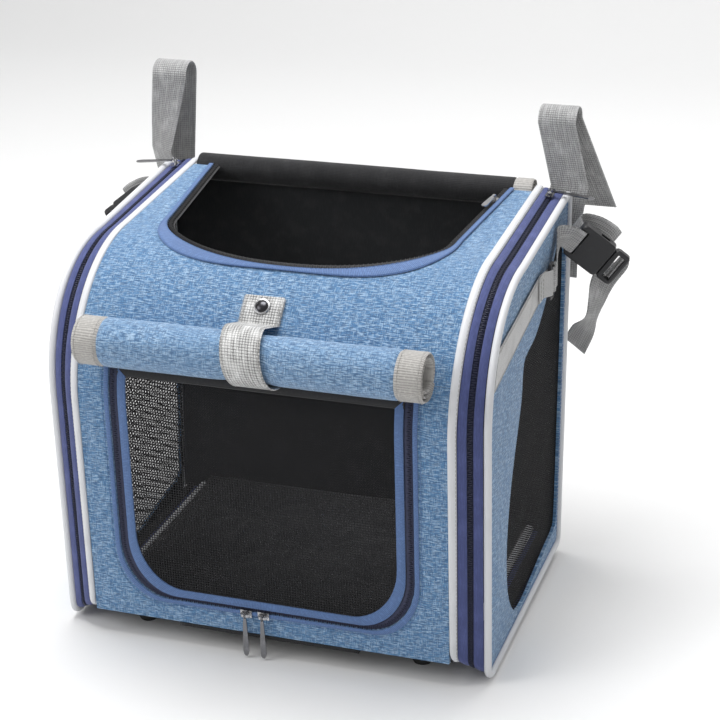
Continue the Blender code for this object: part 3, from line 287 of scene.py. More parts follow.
class Shade:
    """Builds one material."""

    def __init__(self, name):
        self.material = bpy.data.materials.new(name)
        self.material.use_nodes = True
        self.tree = self.material.node_tree
        self.shader = self.tree.nodes["Principled BSDF"]

    def node(self, kind, settings, inputs, output=0):
        node = self.tree.nodes.new(kind)
        for key, value in settings.items():
            setattr(node, key, value)
        for key, value in inputs.items():
            self.put(node.inputs[key], value)
        return Value(self, node.outputs[output])

    def put(self, socket, value):
        if isinstance(value, Value):
            self.tree.links.new(value.socket, socket)
        else:
            socket.default_value = value

    def surface(self, **values):
        for key, value in values.items():
            self.put(self.shader.inputs[key.replace("_", " ")], value)
        return self.material

    def mix(self, share, first, second):
        first, second = (
            value if isinstance(value, Value) else (*value, 1.0) for value in (first, second))
        inputs = {0: share, 6: first, 7: second}
        return self.node("ShaderNodeMix", {"data_type": "RGBA"}, inputs, 2)

    def join(self, x, y, z):
        return self.node("ShaderNodeCombineXYZ", {}, {0: x, 1: y, 2: z})

    def flat_place(self):
        """Place on the flat cloth in metres: across and along."""
        settings = {"attribute_type": "GEOMETRY", "attribute_name": "weave"}
        return self.node("ShaderNodeAttribute", settings, {}, 1).parts()

    def frame_place(self):
        return self.node("ShaderNodeTexCoord", {}, {}, 3).parts()

    def speckle(self, x, y, z, scale, detail=2.0):
        inputs = {"Vector": self.join(x, y, z), "Scale": scale, "Detail": detail}
        return self.node("ShaderNodeTexNoise", {}, inputs)

    def bump(self, height, distance, strength=1.0):
        inputs = {"Height": height, "Distance": distance, "Strength": strength}
        return self.node("ShaderNodeBump", {}, inputs)

    def threads(self, across, along, pitch):
        """Height of a plain weave with a given pitch, and 1 where the warp is on top."""
        a = across * (1 / pitch)
        b = along * (1 / pitch)
        over = (a.floor() + b.floor()).odd()
        warp = (a.fraction() * math.pi).sine() * ((b.fraction() * math.pi).sine() * 0.4 + 0.6)
        weft = (b.fraction() * math.pi).sine() * ((a.fraction() * math.pi).sine() * 0.4 + 0.6)
        return over * warp + (1.0 - over) * weft, over


def heathered_finish(name, colours, fade):
    """Woven cloth with pale and dark slubs that run both ways."""
    shade = Shade(name)
    base = [lerp(a, b, fade) for a, b in zip(colours.blue, colours.pale_blue)]
    across, along, _ = shade.flat_place()
    pale_rows = shade.speckle(across * 120, along * 960, 1.0, 1.0, 1.0).rise(0.49, 0.60)
    pale_columns = shade.speckle(across * 980, along * 130, 8.0, 1.0, 1.0).rise(0.54, 0.64)
    dark_rows = shade.speckle(across * 150, along * 1080, 15.0, 1.0, 1.0).rise(0.49, 0.60)
    dark_columns = shade.speckle(across * 1080, along * 160, 23.0, 1.0, 1.0).rise(0.53, 0.63)
    broad = shade.speckle(across, along, 3.0, 14.0, 3.0).rise(0.25, 0.75)
    height, over = shade.threads(across, along, 0.0012)
    pale = pale_rows.larger(pale_columns * 0.8)
    dark = dark_rows.larger(dark_columns * 0.8)
    colour = shade.mix(pale * 0.90, base, colours.pale_blue)
    colour = shade.mix(dark * 0.72, colour, colours.deep_blue)
    soft = [lerp(a, b, 0.16) for a, b in zip(colours.blue, colours.deep_blue)]
    colour = shade.mix((1.0 - broad) * 0.22, colour, soft)
    # Painted shade: the weave's low threads are darkened towards deep blue.
    colour = shade.mix((1.0 - height) * 0.26, colour, colours.deep_blue)
    relief = height + pale * 0.6 + over * 0.08
    rough = 0.90 - pale * 0.10
    return shade.surface(
        Base_Color=colour, Roughness=rough, Normal=shade.bump(relief, 0.00018, 0.8),
        Sheen_Weight=0.25, Sheen_Roughness=0.5)


def plain_weave_finish(name, colour, pitch, depth, rough=0.85, sheen=0.15, spread=0.35):
    """Plain woven cloth in one colour, with worn lighter threads."""
    shade = Shade(name)
    across, along, _ = shade.flat_place()
    height, over = shade.threads(across, along, pitch)
    worn = shade.speckle(across, along, 5.0, 60.0, 4.0).rise(0.45, 0.75)
    threads = shade.speckle(across * (0.9 / pitch), along * (0.12 / pitch), 2.0, 1.0, 1.0)
    deep = [part * (1 - spread) for part in colour]
    pale = [min(part * (1 + spread) + 0.006, 1.0) for part in colour]
    # Painted shade: the weave's low threads take the darker tone.
    tone = shade.mix(height.rise(0.15, 0.85), deep, colour)
    tone = shade.mix(worn * 0.35 + threads.rise(0.45, 0.7) * 0.30, tone, pale)
    return shade.surface(
        Base_Color=tone, Roughness=rough - worn * 0.10,
        Normal=shade.bump(height + over * 0.12, depth, 0.9), Sheen_Weight=sheen,
        Specular_IOR_Level=0.3)


def ribbed_finish(name, colour, pitch, depth, rough=0.70):
    """Binding tape with ribs across its length and a soft fuzz."""
    shade = Shade(name)
    across, along, _ = shade.flat_place()
    rib = ((along * (2 * math.pi / pitch)).sine() + 1.0) * 0.5
    fine = ((across * (2 * math.pi / (pitch * 0.8))).sine() + 1.0) * 0.5
    fuzz = shade.speckle(across, along, 1.0, 420.0, 3.0)
    broad = shade.speckle(across, along, 9.0, 24.0, 3.0).rise(0.3, 0.7)
    deep = [part * 0.62 for part in colour]
    pale = [min(part * 1.30 + 0.01, 1.0) for part in colour]
    # Painted shade: the tape is darker in the grooves between its ribs.
    tone = shade.mix(rib, deep, colour)
    tone = shade.mix(fuzz.rise(0.45, 0.75) * 0.5 + broad * 0.15, tone, pale)
    relief = rib + fine * 0.35 + fuzz * 0.3
    return shade.surface(
        Base_Color=tone, Roughness=rough - rib * 0.08, Normal=shade.bump(relief, depth, 0.8),
        Sheen_Weight=0.2)


def mesh_finish(name, colour, pitch, openness, stagger):
    """Mesh with rounded square holes, or with staggered rows of round ones."""
    shade = Shade(name)
    across, along, _ = shade.flat_place()
    tall = 0.866 if stagger else 1.0
    row = along * (1 / (pitch * tall))
    column = across * (1 / pitch) + row.floor().odd() * (0.5 if stagger else 0.0)
    x = column.fraction() - 0.5
    y = (row.fraction() - 0.5) * tall
    x, y = x * x, y * y
    reach = (x + y).root() if stagger else (x * x + y * y).root().root()
    solid = reach.rise(openness - 0.04, openness + 0.04)
    strand = shade.speckle(across, along, 4.0, 900.0, 2.0)
    pale = [part * 2.4 + 0.010 for part in colour]
    # Painted highlight: the strands are lighter away from the holes' edges, where they stand
    # highest. The strand speckle is their own tone.
    tone = shade.mix(strand.rise(0.4, 0.7) * 0.5 + reach.rise(0.35, 0.55) * 0.4, colour, pale)
    return shade.surface(
        Base_Color=tone, Roughness=0.70 + strand * 0.2, Alpha=solid, Specular_IOR_Level=0.2,
        Normal=shade.bump(reach + strand * 0.1, 0.0003, 0.7))


def thread_finish(name, colour, rough=0.55):
    """Sewing thread or nylon coil."""
    shade = Shade(name)
    x, y, z = shade.frame_place()
    twist = ((x + y + z) * 9000.0).sine() * 0.5 + 0.5
    fuzz = shade.speckle(x, y, z, 700.0, 2.0)
    deep = [part * 0.6 for part in colour]
    # Painted shade: the twist's grooves are darker. The fuzz is the thread's own tone.
    tone = shade.mix(twist * 0.5 + fuzz * 0.4, deep, colour)
    return shade.surface(
        Base_Color=tone, Roughness=rough + fuzz * 0.15, Normal=shade.bump(twist, 0.00008, 0.6))


def piping_finish(name, colour):
    """Coated cord with a fine diagonal weave and a little grime."""
    shade = Shade(name)
    x, y, z = shade.frame_place()
    twill = ((x * 0.7 + y + z * 1.2) * 5200.0).sine() * 0.5 + 0.5
    grime = shade.speckle(x, y, z, 26.0, 4.0).rise(0.50, 0.78)
    fine = shade.speckle(x, y, z, 500.0, 2.0)
    dull = [part * 0.74 for part in colour]
    # Painted shade: the twill's grooves are darker. The grime is real dirt.
    tone = shade.mix(grime * 0.45 + (1.0 - twill) * 0.12, colour, dull)
    return shade.surface(
        Base_Color=tone, Roughness=0.44 + grime * 0.2 + fine * 0.08,
        Normal=shade.bump(twill + fine * 0.5, 0.00010, 0.6), Coat_Weight=0.08)


def plastic_finish(name, colour, rough):
    """Moulded plastic with spark grain and scuffs."""
    shade = Shade(name)
    x, y, z = shade.frame_place()
    grain = shade.speckle(x, y, z, 1500.0, 2.0)
    scuff = shade.speckle(x, y * 3.0, z, 55.0, 5.0).rise(0.58, 0.74)
    pale = [part * 2.2 + 0.012 for part in colour]
    # Painted highlight: the raised specks of the grain are lighter. The scuffs are real wear.
    tone = shade.mix(scuff * 0.5 + grain.rise(0.4, 0.7) * 0.15, colour, pale)
    return shade.surface(
        Base_Color=tone, Roughness=rough + scuff * 0.18 + grain * 0.1,
        Normal=shade.bump(grain + scuff * 0.2, 0.00006, 0.7))


def metal_finish(name, colour, rough):
    """Plated metal with brushing and worn high spots."""
    shade = Shade(name)
    x, y, z = shade.frame_place()
    brush = shade.speckle(x * 1800.0, y * 120.0, z * 300.0, 1.0, 3.0)
    wear = shade.speckle(x, y, z, 160.0, 4.0).rise(0.50, 0.72)
    pale = [min(part * 1.7, 1.0) for part in colour]
    tone = shade.mix(wear * 0.5, colour, pale)
    return shade.surface(
        Base_Color=tone, Metallic=1.0, Roughness=rough + brush * 0.16 - wear * 0.05,
        Normal=shade.bump(brush, 0.00003, 0.5))


def reflective_finish(name, colour):
    """Woven tape with a fine grid of glass beads and darker ribs across its length; painted shade
    darkens its weave's low threads.
    """
    shade = Shade(name)
    across, along, _ = shade.flat_place()
    height, _ = shade.threads(across, along, 0.0013)
    ribs = ((along * (2 * math.pi / 0.0026)).sine() + 1.0) * 0.5
    grime = shade.speckle(across, along, 2.0, 45.0, 4.0).rise(0.48, 0.75)
    deep = [part * 0.66 for part in colour]
    # Painted shade: the weave's low threads take the darker tone.
    tone = shade.mix(height.rise(0.1, 0.8), deep, colour)
    tone = shade.mix(grime * 0.30 + ribs * 0.12, tone, deep)
    return shade.surface(
        Base_Color=tone, Roughness=0.42 + grime * 0.2,
        Normal=shade.bump(height + ribs * 0.4, 0.00016, 0.7), Coat_Weight=0.15)


def fleece_finish(name, colour):
    """Brushed soft cloth of the cushion."""
    shade = Shade(name)
    across, along, _ = shade.flat_place()
    pile = shade.speckle(across, along, 1.0, 850.0, 4.0)
    lay = shade.speckle(across * 60, along * 25, 6.0, 1.0, 3.0).rise(0.35, 0.7)
    pale = [part * 2.0 + 0.02 for part in colour]
    # Painted highlight: the pile is lighter where it and its lay stand up in the bump.
    tone = shade.mix(pile.rise(0.4, 0.75) * 0.6 + lay * 0.3, colour, pale)
    return shade.surface(
        Base_Color=tone, Roughness=0.95, Normal=shade.bump(pile + lay * 0.4, 0.0006, 0.8),
        Sheen_Weight=0.15, Specular_IOR_Level=0.2)


# Maker, colour and settings of each finish. A colour is a name in BasketColours or linear values,
# and the heathered cloths mix several of those colours.
finishes = {
    "blue_cloth": (heathered_finish, None, 0.0),
    "flap_cloth": (heathered_finish, None, 0.30),
    "royal_binding": (ribbed_finish, "royal", 0.0016, 0.00025),
    "grey_binding": (ribbed_finish, "grey", 0.0019, 0.0003, 0.78),
    "navy_tape": (ribbed_finish, (0.022, 0.028, 0.075), 0.0011, 0.00015),
    "black_tape": (ribbed_finish, (0.012, 0.012, 0.014), 0.0011, 0.00015),
    "navy_band": (plain_weave_finish, "navy", 0.0010, 0.00016),
    "black_cloth": (plain_weave_finish, "black", 0.0014, 0.0003, 0.8),
    "lining": (plain_weave_finish, (0.016, 0.017, 0.019), 0.0009, 0.0001, 0.75, 0.05),
    "grey_strap": (plain_weave_finish, (0.58, 0.58, 0.575), 0.0026, 0.0007, 0.85, 0.15, 0.72),
    "grey_webbing": (plain_weave_finish, "webbing", 0.0021, 0.0006, 0.82, 0.1, 0.5),
    "reflective_tape": (reflective_finish, "reflective"),
    "cushion_cloth": (fleece_finish, (0.016, 0.016, 0.018)),
    "black_mesh": (mesh_finish, (0.012, 0.012, 0.013), 0.0025, 0.37, False),
    "side_net": (mesh_finish, (0.006, 0.006, 0.007), 0.0040, 0.37, True),
    "white_piping": (piping_finish, "piping"),
    "coil": (thread_finish, (0.020, 0.024, 0.060), 0.38),
    "black_coil": (thread_finish, (0.035, 0.035, 0.038), 0.34),
    "blue_thread": (thread_finish, (0.13, 0.24, 0.50)),
    "grey_thread": (thread_finish, (0.50, 0.49, 0.47)),
    "navy_thread": (thread_finish, (0.09, 0.11, 0.27)),
    "black_thread": (thread_finish, (0.03, 0.03, 0.03)),
    "gunmetal": (metal_finish, (0.055, 0.055, 0.060), 0.16),
    "chrome": (metal_finish, (0.50, 0.50, 0.51), 0.12),
    "zip_metal": (metal_finish, (0.24, 0.24, 0.25), 0.14),
    "black_plastic": (plastic_finish, "black", 0.36),
    "black_rubber": (plastic_finish, (0.012, 0.012, 0.012), 0.62),
}
finish_store = {}


def finish(name):
    """The material of a finish, made once."""
    if name not in finish_store:
        maker, colour, *settings = finishes[name]
        colours = bpy.context.scene.basket_colours
        if colour is None:
            colour = colours
        elif isinstance(colour, str):
            colour = tuple(getattr(colours, colour))
        finish_store[name] = maker(name, colour, *settings)
    return finish_store[name]


# Shape of the basket


def lerp(a, b, share):
    return a + (b - a) * share


def rear_at(height):
    """Depth of the leaning rear face at a height."""
    return lerp(rear_foot_depth, rear_head_depth, height / shoulder_height)


def bezier(knots, share):
    rest = 1 - share
    weights = (rest ** 3, 3 * rest * rest * share, 3 * rest * share * share, share ** 3)
    return sum((knot * weight for weight, knot in zip(weights, knots)), Vector((0, 0)))


def fillet(before, corner, after, radius, steps):
    """Points of an arc that rounds the corner between two straight lines."""
    first = (before - corner).normalized()
    second = (after - corner).normalized()
    half = first.angle(second) / 2
    middle = corner + (first + second).normalized() * (radius / math.sin(half))
    start = corner + first * (radius / math.tan(half)) - middle
    end = corner + second * (radius / math.tan(half)) - middle
    directions = [start.slerp(end, step / steps).normalized() for step in range(steps + 1)]
    return [middle + direction * radius for direction in directions]


def route_runs(points, closed=False):
    """Unit directions along a row of points."""
    last = len(points) - 1
    runs = []
    for step in range(last + 1):
        before = points[step - 1] if closed or step > 0 else points[0]
        after = points[(step + 1) % (last + 1)] if closed or step < last else points[last]
        runs.append((after - before).normalized())
    return runs


def route_lengths(points):
    """Length along a row of points, up to each of them."""
    lengths = [0.0]
    for before, after in zip(points, points[1:]):
        lengths.append(lengths[-1] + (after - before).length)
    return lengths


def smooth_route(points, steps, closed=False):
    """Points of a smooth curve through a row of points."""
    count = len(points)
    result = []
    for span in range(count if closed else count - 1):
        if closed:
            a, b, c, d = (points[(span + offset - 1) % count] for offset in range(4))
        else:
            a, b, c, d = (points[min(max(span + offset - 1, 0), count - 1)] for offset in range(4))
        for step in range(steps):
            t = step / steps
            square = (2 * a - 5 * b + 4 * c - d) * t * t
            cube = (3 * b - a - 3 * c + d) * t ** 3
            result.append(b + ((c - a) * t + square + cube) / 2)
    if not closed:
        result.append(points[-1].copy())
    return result


def rim_path(side):
    """Depth and height of a gusset edge, from its top rear end round to its low rear end."""
    back = side_set_back * side
    knots = [
        Vector((back, front_straight_height)),
        Vector((back, front_straight_height + shoulder_low_handle)),
        Vector((shoulder_depth - shoulder_high_handle, shoulder_height - side_drop_front * side)),
        Vector((shoulder_depth, shoulder_height - side_drop_front * side)),
    ]
    head = Vector((
        rear_at(shoulder_height) - top_end_gap,
        shoulder_height + top_rear_rise - side_drop_rear * side,
    ))
    points = [head.lerp(knots[3], step / 24) for step in range(24)]
    points += [bezier(knots[::-1], step / 36) for step in range(37)]
    corner = Vector((back, -side_sag_front * side))
    end = Vector((rear_at(0) - low_end_gap, -side_sag_rear * side))
    turn = fillet(knots[0], corner, end, lower_corner_radius, 10)
    points += [points[-1].lerp(turn[0], step / 30) for step in range(1, 30)]
    points += turn
    return points + [turn[-1].lerp(end, step / 36) for step in range(1, 37)]


front_rim = rim_path(0)
side_rim = rim_path(1)
profile = [Vector((0, 0))] + front_rim[:61][::-1]
profile_outs = [Vector((-run.y, run.x)) for run in route_runs(profile)]
profile_outs[1] = profile_outs[0]
profile_lengths = route_lengths(profile)


def profile_place(value, axis):
    """Point and outward direction on the profile, at a depth (axis 0) or at a height (axis 1)."""
    for step in range(len(profile) - 1):
        first, second = profile[step], profile[step + 1]
        if first[axis] <= value <= second[axis] and second[axis] > first[axis]:
            share = (value - first[axis]) / (second[axis] - first[axis])
            out = profile_outs[step].lerp(profile_outs[step + 1], share)
            return first.lerp(second, share), out.normalized()
    raise ValueError("the profile has no such place")


def on_front(x, height, rise):
    place, out = profile_place(height, 1)
    return Vector((x, *(place + out * rise)))


def on_top(x, depth, rise):
    place, out = profile_place(depth, 0)
    return Vector((x, *(place + out * rise)))


def nearest_profile(point):
    """Length along the profile and outward direction of its nearest point."""
    best = (math.inf, 0.0, None)
    for step in range(len(profile) - 1):
        first, second = profile[step], profile[step + 1]
        span = second - first
        share = min(max((point - first).dot(span) / span.length_squared, 0), 1)
        away = (first + span * share - point).length
        if away < best[0]:
            out = profile_outs[step].lerp(profile_outs[step + 1], share).normalized()
            best = (away, lerp(profile_lengths[step], profile_lengths[step + 1], share), out)
    return best[1], best[2]


def door_outline(side_inset, low_inset, top_inset):
    """The door's left, lower and right edges as pairs of x and height, drawn in by the insets."""
    half = door_half_width - side_inset
    low = door_low_edge + low_inset
    top = door_hinge_height - fit_gap - top_inset
    left = []
    for step in range(20):
        left.append((-half, lerp(top, low + door_corner_height, step / 20)))
    for step in range(15):
        turn = math.pi / 2 * step / 14
        x = -half + door_corner_width * (1 - math.cos(turn))
        left.append((x, low + door_corner_height * (1 - math.sin(turn))))
    start = left[-1][0]
    left += [(lerp(start, 0, step / 12), low) for step in range(1, 12)]
    return left + [(0, low)] + [(-x, height) for x, height in left[::-1]]


def opening_outline(grow, corner_grow=0):
    """The top opening's edge moved outwards, from its left rear end to its right rear end."""
    points = []
    steps = 72
    for step in range(steps + 1):
        turn = math.pi * (step / steps - 0.5)
        more = grow + corner_grow * math.sin(2 * turn) ** 2
        wide = math.copysign(abs(math.sin(turn)) ** opening_roundness_share, turn)
        deep = abs(math.cos(turn)) ** opening_roundness_share
        span = opening_full_depth - opening_front_depth + more
        points.append(((opening_half_width + more) * wide, opening_full_depth - span * deep))
    rear = opening_rear_half_width + grow
    start, end = points[0], points[-1]
    shares = [step / 12 for step in range(13)]
    lead = [(lerp(-rear, start[0], s), lerp(top_end_depth, start[1], s)) for s in shares[:-1]]
    tail = [(lerp(end[0], rear, s), lerp(end[1], top_end_depth, s)) for s in shares[1:]]
    return lead + points + tail


def gusset_frames(share, offset):
    """Places along the right gusset, each with its wide and outward directions."""
    frames = []
    runs = zip(route_runs(front_rim), route_runs(side_rim))
    for near, far, (near_run, far_run) in zip(front_rim, side_rim, runs):
        start, end = Vector((half_front, *near)), Vector((half_side, *far))
        wide = (end - start).normalized()
        run = Vector((0, *near_run.lerp(far_run, share)))
        frames.append((start.lerp(end, share) + wide * offset, wide, run.cross(wide).normalized()))
    return frames


def side_loop():
    """Depth and height of the side piping's middle, all the way round the side wall."""
    low_height = -side_sag_rear
    high_height = shoulder_height + top_rear_rise - side_drop_rear
    low = Vector((rear_at(low_height) - side_piping_radius, low_height))
    high = Vector((rear_at(high_height) - side_piping_radius, high_height))
    path = side_rim[1:-1]
    path += fillet(side_rim[-2], low, high, side_corner_radius, 8)
    start, end = path[-1], fillet(low, high, side_rim[1], side_corner_radius, 8)
    path += [start.lerp(end[0], step / 40) for step in range(1, 40)]
    return path + end


def buckle_place(along, aside, off):
    return buckle_centre + buckle_run * along + buckle_across * aside + buckle_face * off


def buckle_share_place(shares):
    return buckle_place(*(share * socket_length for share in shares))


def buckle_direction(shares):
    return buckle_run * shares[0] + buckle_across * shares[1] + buckle_face * shares[2]


# Making meshes


def moved(point, sign=1):
    """A point of the right side in the frame, mirrored where sign is -1."""
    return Vector((point.x * sign, point.y, point.z)) + basket_origin


def turned_frame_point(point, sign):
    return Vector((point[0] * sign, point[1], point[2]))


def linked(name, data):
    obj = bpy.data.objects.new(name, data)
    bpy.context.scene.collection.objects.link(obj)
    return obj


def add_weave(data, weave):
    """Keeps each point's place on the flat cloth, in metres, for its finish."""
    layer = data.attributes.new("weave", "FLOAT_VECTOR", "POINT")
    layer.data.foreach_set("vector", np.array(weave, np.float32).ravel())


def mesh_object(name, places, faces, weave=None):
    data = bpy.data.meshes.new(name)
    data.from_pydata([tuple(place) for place in places], [], faces)
    if weave is not None:
        add_weave(data, weave)
    data.update()
    shape = bmesh.new()
    shape.from_mesh(data)
    bmesh.ops.recalc_face_normals(shape, faces=shape.faces)
    shape.to_mesh(data)
    shape.free()
    data.shade_smooth()
    data.set_sharp_from_angle(angle=crease_angle)
    return linked(name, data)


def ring_object(name, rings, closed=False, weave=None):
    """Skins a row of matching closed rings of points; open rows get caps."""
    count = len(rings[0])
    places = [point for ring in rings for point in ring]
    faces = []
    starts = [step * count for step in range(len(rings))]
    pairs = list(zip(starts, starts[1:]))
    if closed:
        pairs.append((starts[-1], 0))
    for first, second in pairs:
        for step in range(count):
            after = (step + 1) % count
            faces.append((first + step, first + after, second + after, second + step))
    if not closed:
        faces.append(tuple(range(count)))
        faces.append(tuple(range(len(places) - count, len(places))))
    return mesh_object(name, places, faces, weave)


def cloth_object(name, rows, wall, weave_rows):
    """A thick cloth over rows of points, with rounded edges."""
    grid = np.array([[tuple(point) for point in row] for row in rows])
    along = np.gradient(grid, axis=0)
    across = np.gradient(grid, axis=1)
    lift = np.cross(across, along)
    lift /= np.linalg.norm(lift, axis=2, keepdims=True) + 1e-12
    inner = 0.30
    rings = []
    flat = []
    for middle, up, coordinates in zip(grid, lift, weave_rows):
        upper = middle + up * wall / 2
        lower = middle - up * wall / 2
        for face in (upper, lower):
            face[0] = face[0] * (1 - inner) + face[1] * inner
            face[-1] = face[-1] * (1 - inner) + face[-2] * inner
        rings.append([Vector(point) for point in (*upper, middle[-1], *lower[::-1], middle[0])])
        flat += [*coordinates, coordinates[-1], *coordinates[::-1], coordinates[0]]
    return ring_object(name, rings, False, flat)


def cloth_grid(name, count, columns, wall, cell):
    """A thick cloth whose cell(row, share across) gives a point and its place on the flat cloth."""
    shares = [column / columns for column in range(columns + 1)]
    cells = [[cell(row, share) for share in shares] for row in range(count)]
    rows = [[point for point, _ in row] for row in cells]
    return cloth_object(name, rows, wall, [[flat for _, flat in row] for row in cells])


def strap_object(name, points, across, width, wall, sign=1, columns=8):
    """A strap along a middle line, with its width direction at each point."""
    shares = [2 * step / columns - 1 for step in range(columns + 1)]
    rows = []
    weave = []
    for point, length, side in zip(points, route_lengths(points), across):
        wide = side.normalized()
        rows.append([moved(point + wide * share * width / 2, sign) for share in shares])
        weave.append([(share * width / 2, length, 0) for share in shares])
    return cloth_object(name, rows, wall, weave)


def dressed(obj, look, body, nodes=(), blend=None):
    """Gives a piece its finish and its body, and hides the nodes it stands for; given a blend, it
    keeps no body and only has its place baked in.
    """
    looks = [look] if isinstance(look, str) else look
    for one in looks:
        obj.data.materials.append(finish(one))
    if blend is None:
        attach(obj, body)
    else:
        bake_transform(obj)
    if nodes:
        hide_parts(*nodes)
    return obj


def kept(names, look, bevel=0.0):
    """CAD nodes that stay, with a finish and softened edges."""
    for name in names:
        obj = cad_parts[name]
        obj.data.materials.clear()
        obj.data.materials.append(finish(look))
        if bevel:
            step = obj.modifiers.new("soft_edges", "BEVEL")
            step.width = bevel
            step.segments = 2
            step.limit_method = "ANGLE"
            step.angle_limit = math.radians(35)


def refined(node, name, cuts, out_of, weave_of, sizes, depth=1.0, inward=False):
    """A copy of a panel cut into small faces, whose cloth swells and ripples between its seams.

    out_of gives the outward direction at a point, and weave_of its place on the flat cloth.
    """
    shape = bmesh.new()
    shape.from_mesh(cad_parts[node].data)
    bmesh.ops.remove_doubles(shape, verts=shape.verts, dist=1e-6)
    bmesh.ops.dissolve_limit(
        shape, angle_limit=math.radians(0.5), verts=shape.verts, edges=shape.edges)
    for axis in cuts:
        low = min(vert.co[axis] for vert in shape.verts)
        high = max(vert.co[axis] for vert in shape.verts)
        count = max(round((high - low) / sizes.panel_cell), 2)
        normal = Vector((0, 0, 0))
        normal[axis] = 1
        for step in range(1, count):
            place = Vector((0, 0, 0))
            place[axis] = lerp(low, high, step / count)
            everything = shape.verts[:] + shape.edges[:] + shape.faces[:]
            bmesh.ops.bisect_plane(
                shape, geom=everything, dist=1e-6, plane_co=place, plane_no=normal)
    shape.normal_update()
    outs = {vert: out_of(vert.co) for vert in shape.verts}
    rim = set()
    for face in shape.faces:
        side_on = abs(face.normal.dot(outs[face.verts[0]])) < 0.5
        if side_on:
            rim.update(face.verts)
        face.material_index = 1 if face.normal.dot(outs[face.verts[0]]) < -0.5 else 0
        face.smooth = True
    tree = kdtree.KDTree(len(rim))
    for step, vert in enumerate(rim):
        tree.insert(vert.co, step)
    tree.balance()
    flat = []
    shifts = []
    for vert in shape.verts:
        away = tree.find(vert.co)[2]
        u, v = weave_of(vert.co)
        flat.append((u, v, 0))
        free = min(away / slack_reach, 1)
        free = free * free * (3 - 2 * free)
        near = math.exp(-(away / pucker_reach) ** 2) * min(away / seam_reach, 1)
        swell = noise.noise(Vector((u * 14, v * 11, 3)))
        swell += 0.5 * noise.noise(Vector((u * 34, v * 30, 9)))
        pucker = noise.noise(Vector((u * 150, v * 150, 5)))
        rise = sizes.fold_depth * depth * (free * (0.55 + swell) + near * pucker * 0.35)
        rise = -abs(rise) if inward else rise
        shifts.append(outs[vert] * rise)
    for vert, shift in zip(shape.verts, shifts):
        vert.co += shift
    data = bpy.data.meshes.new(name)
    shape.to_mesh(data)
    shape.free()
    add_weave(data, flat)
    data.set_sharp_from_angle(angle=crease_angle)
    return linked(name, data)


def capsule(places, faces, start, end, up, width, height):
    """Adds a small rounded bar between two points to a mesh's lists."""
    run = (end - start).normalized()
    side = run.cross(up).normalized()
    base = len(places)
    for share, grow in ((0.0, 0.35), (0.22, 1.0), (0.78, 1.0), (1.0, 0.35)):
        middle = start.lerp(end, share)
        for turn in range(6):
            angle = math.pi / 3 * turn
            wide = side * math.cos(angle) * width / 2 * grow
            places.append(middle + wide + up * math.sin(angle) * height / 2 * grow)
    for ring in range(3):
        for turn in range(6):
            after = (turn + 1) % 6
            first, second = base + ring * 6, base + ring * 6 + 6
            faces.append((first + turn, first + after, second + after, second + turn))
    faces.append(tuple(range(base, base + 6)))
    faces.append(tuple(range(base + 18, base + 24)))


def resampled(route, step):
    """Points and directions at even steps along a route of (point, up) pairs."""
    result = []
    carry = 0.0
    for (first, up_first), (second, up_second) in zip(route, route[1:]):
        length = (second - first).length
        while carry < length:
            share = carry / length
            result.append((first.lerp(second, share), up_first.lerp(up_second, share).normalized()))
            carry += step
        carry -= length
    return result


def stitching(name, routes, look, body, sizes, sign=1, blend=None):
    """Rows of stitches along routes of (point, up) pairs."""
    places = []
    faces = []
    pitch = sizes.stitch_length + sizes.stitch_gap
    share = sizes.stitch_length / pitch
    for route in routes:
        marks = resampled(route, pitch)
        for (start, up), (end, _) in zip(marks, marks[1:]):
            last = start.lerp(end, share)
            capsule(places, faces, start, last, up, sizes.thread_width, sizes.thread_width)
    obj = mesh_object(name, [moved(place, sign) for place in places], faces)
    dressed(obj, look, body, (), blend)


def coil_object(name, route, wides, look, body, reach, height, sizes, sign=1):
    """A zip's coil as separate turns, every other one set aside, along (point, up) pairs."""
    places = []
    faces = []
    stagger = 0.0005
    lengths = route_lengths([point for point, _ in route])
    cursor = 0
    for step, (point, up) in enumerate(resampled(route, sizes.coil_pitch)):
        travelled = step * sizes.coil_pitch
        while cursor < len(lengths) - 2 and lengths[cursor + 1] < travelled:
            cursor += 1
        wide = wides[cursor]
        shift = wide * (stagger if step % 2 else -stagger)
        start = point + shift - wide * reach
        end = point + shift + wide * reach
        capsule(places, faces, start, end, up, sizes.coil_pitch * 0.62, height)
    obj = mesh_object(name, [moved(place, sign) for place in places], faces)
    dressed(obj, look, body)


def body_of_side(side):
    return f"side_{side}"


# Pieces


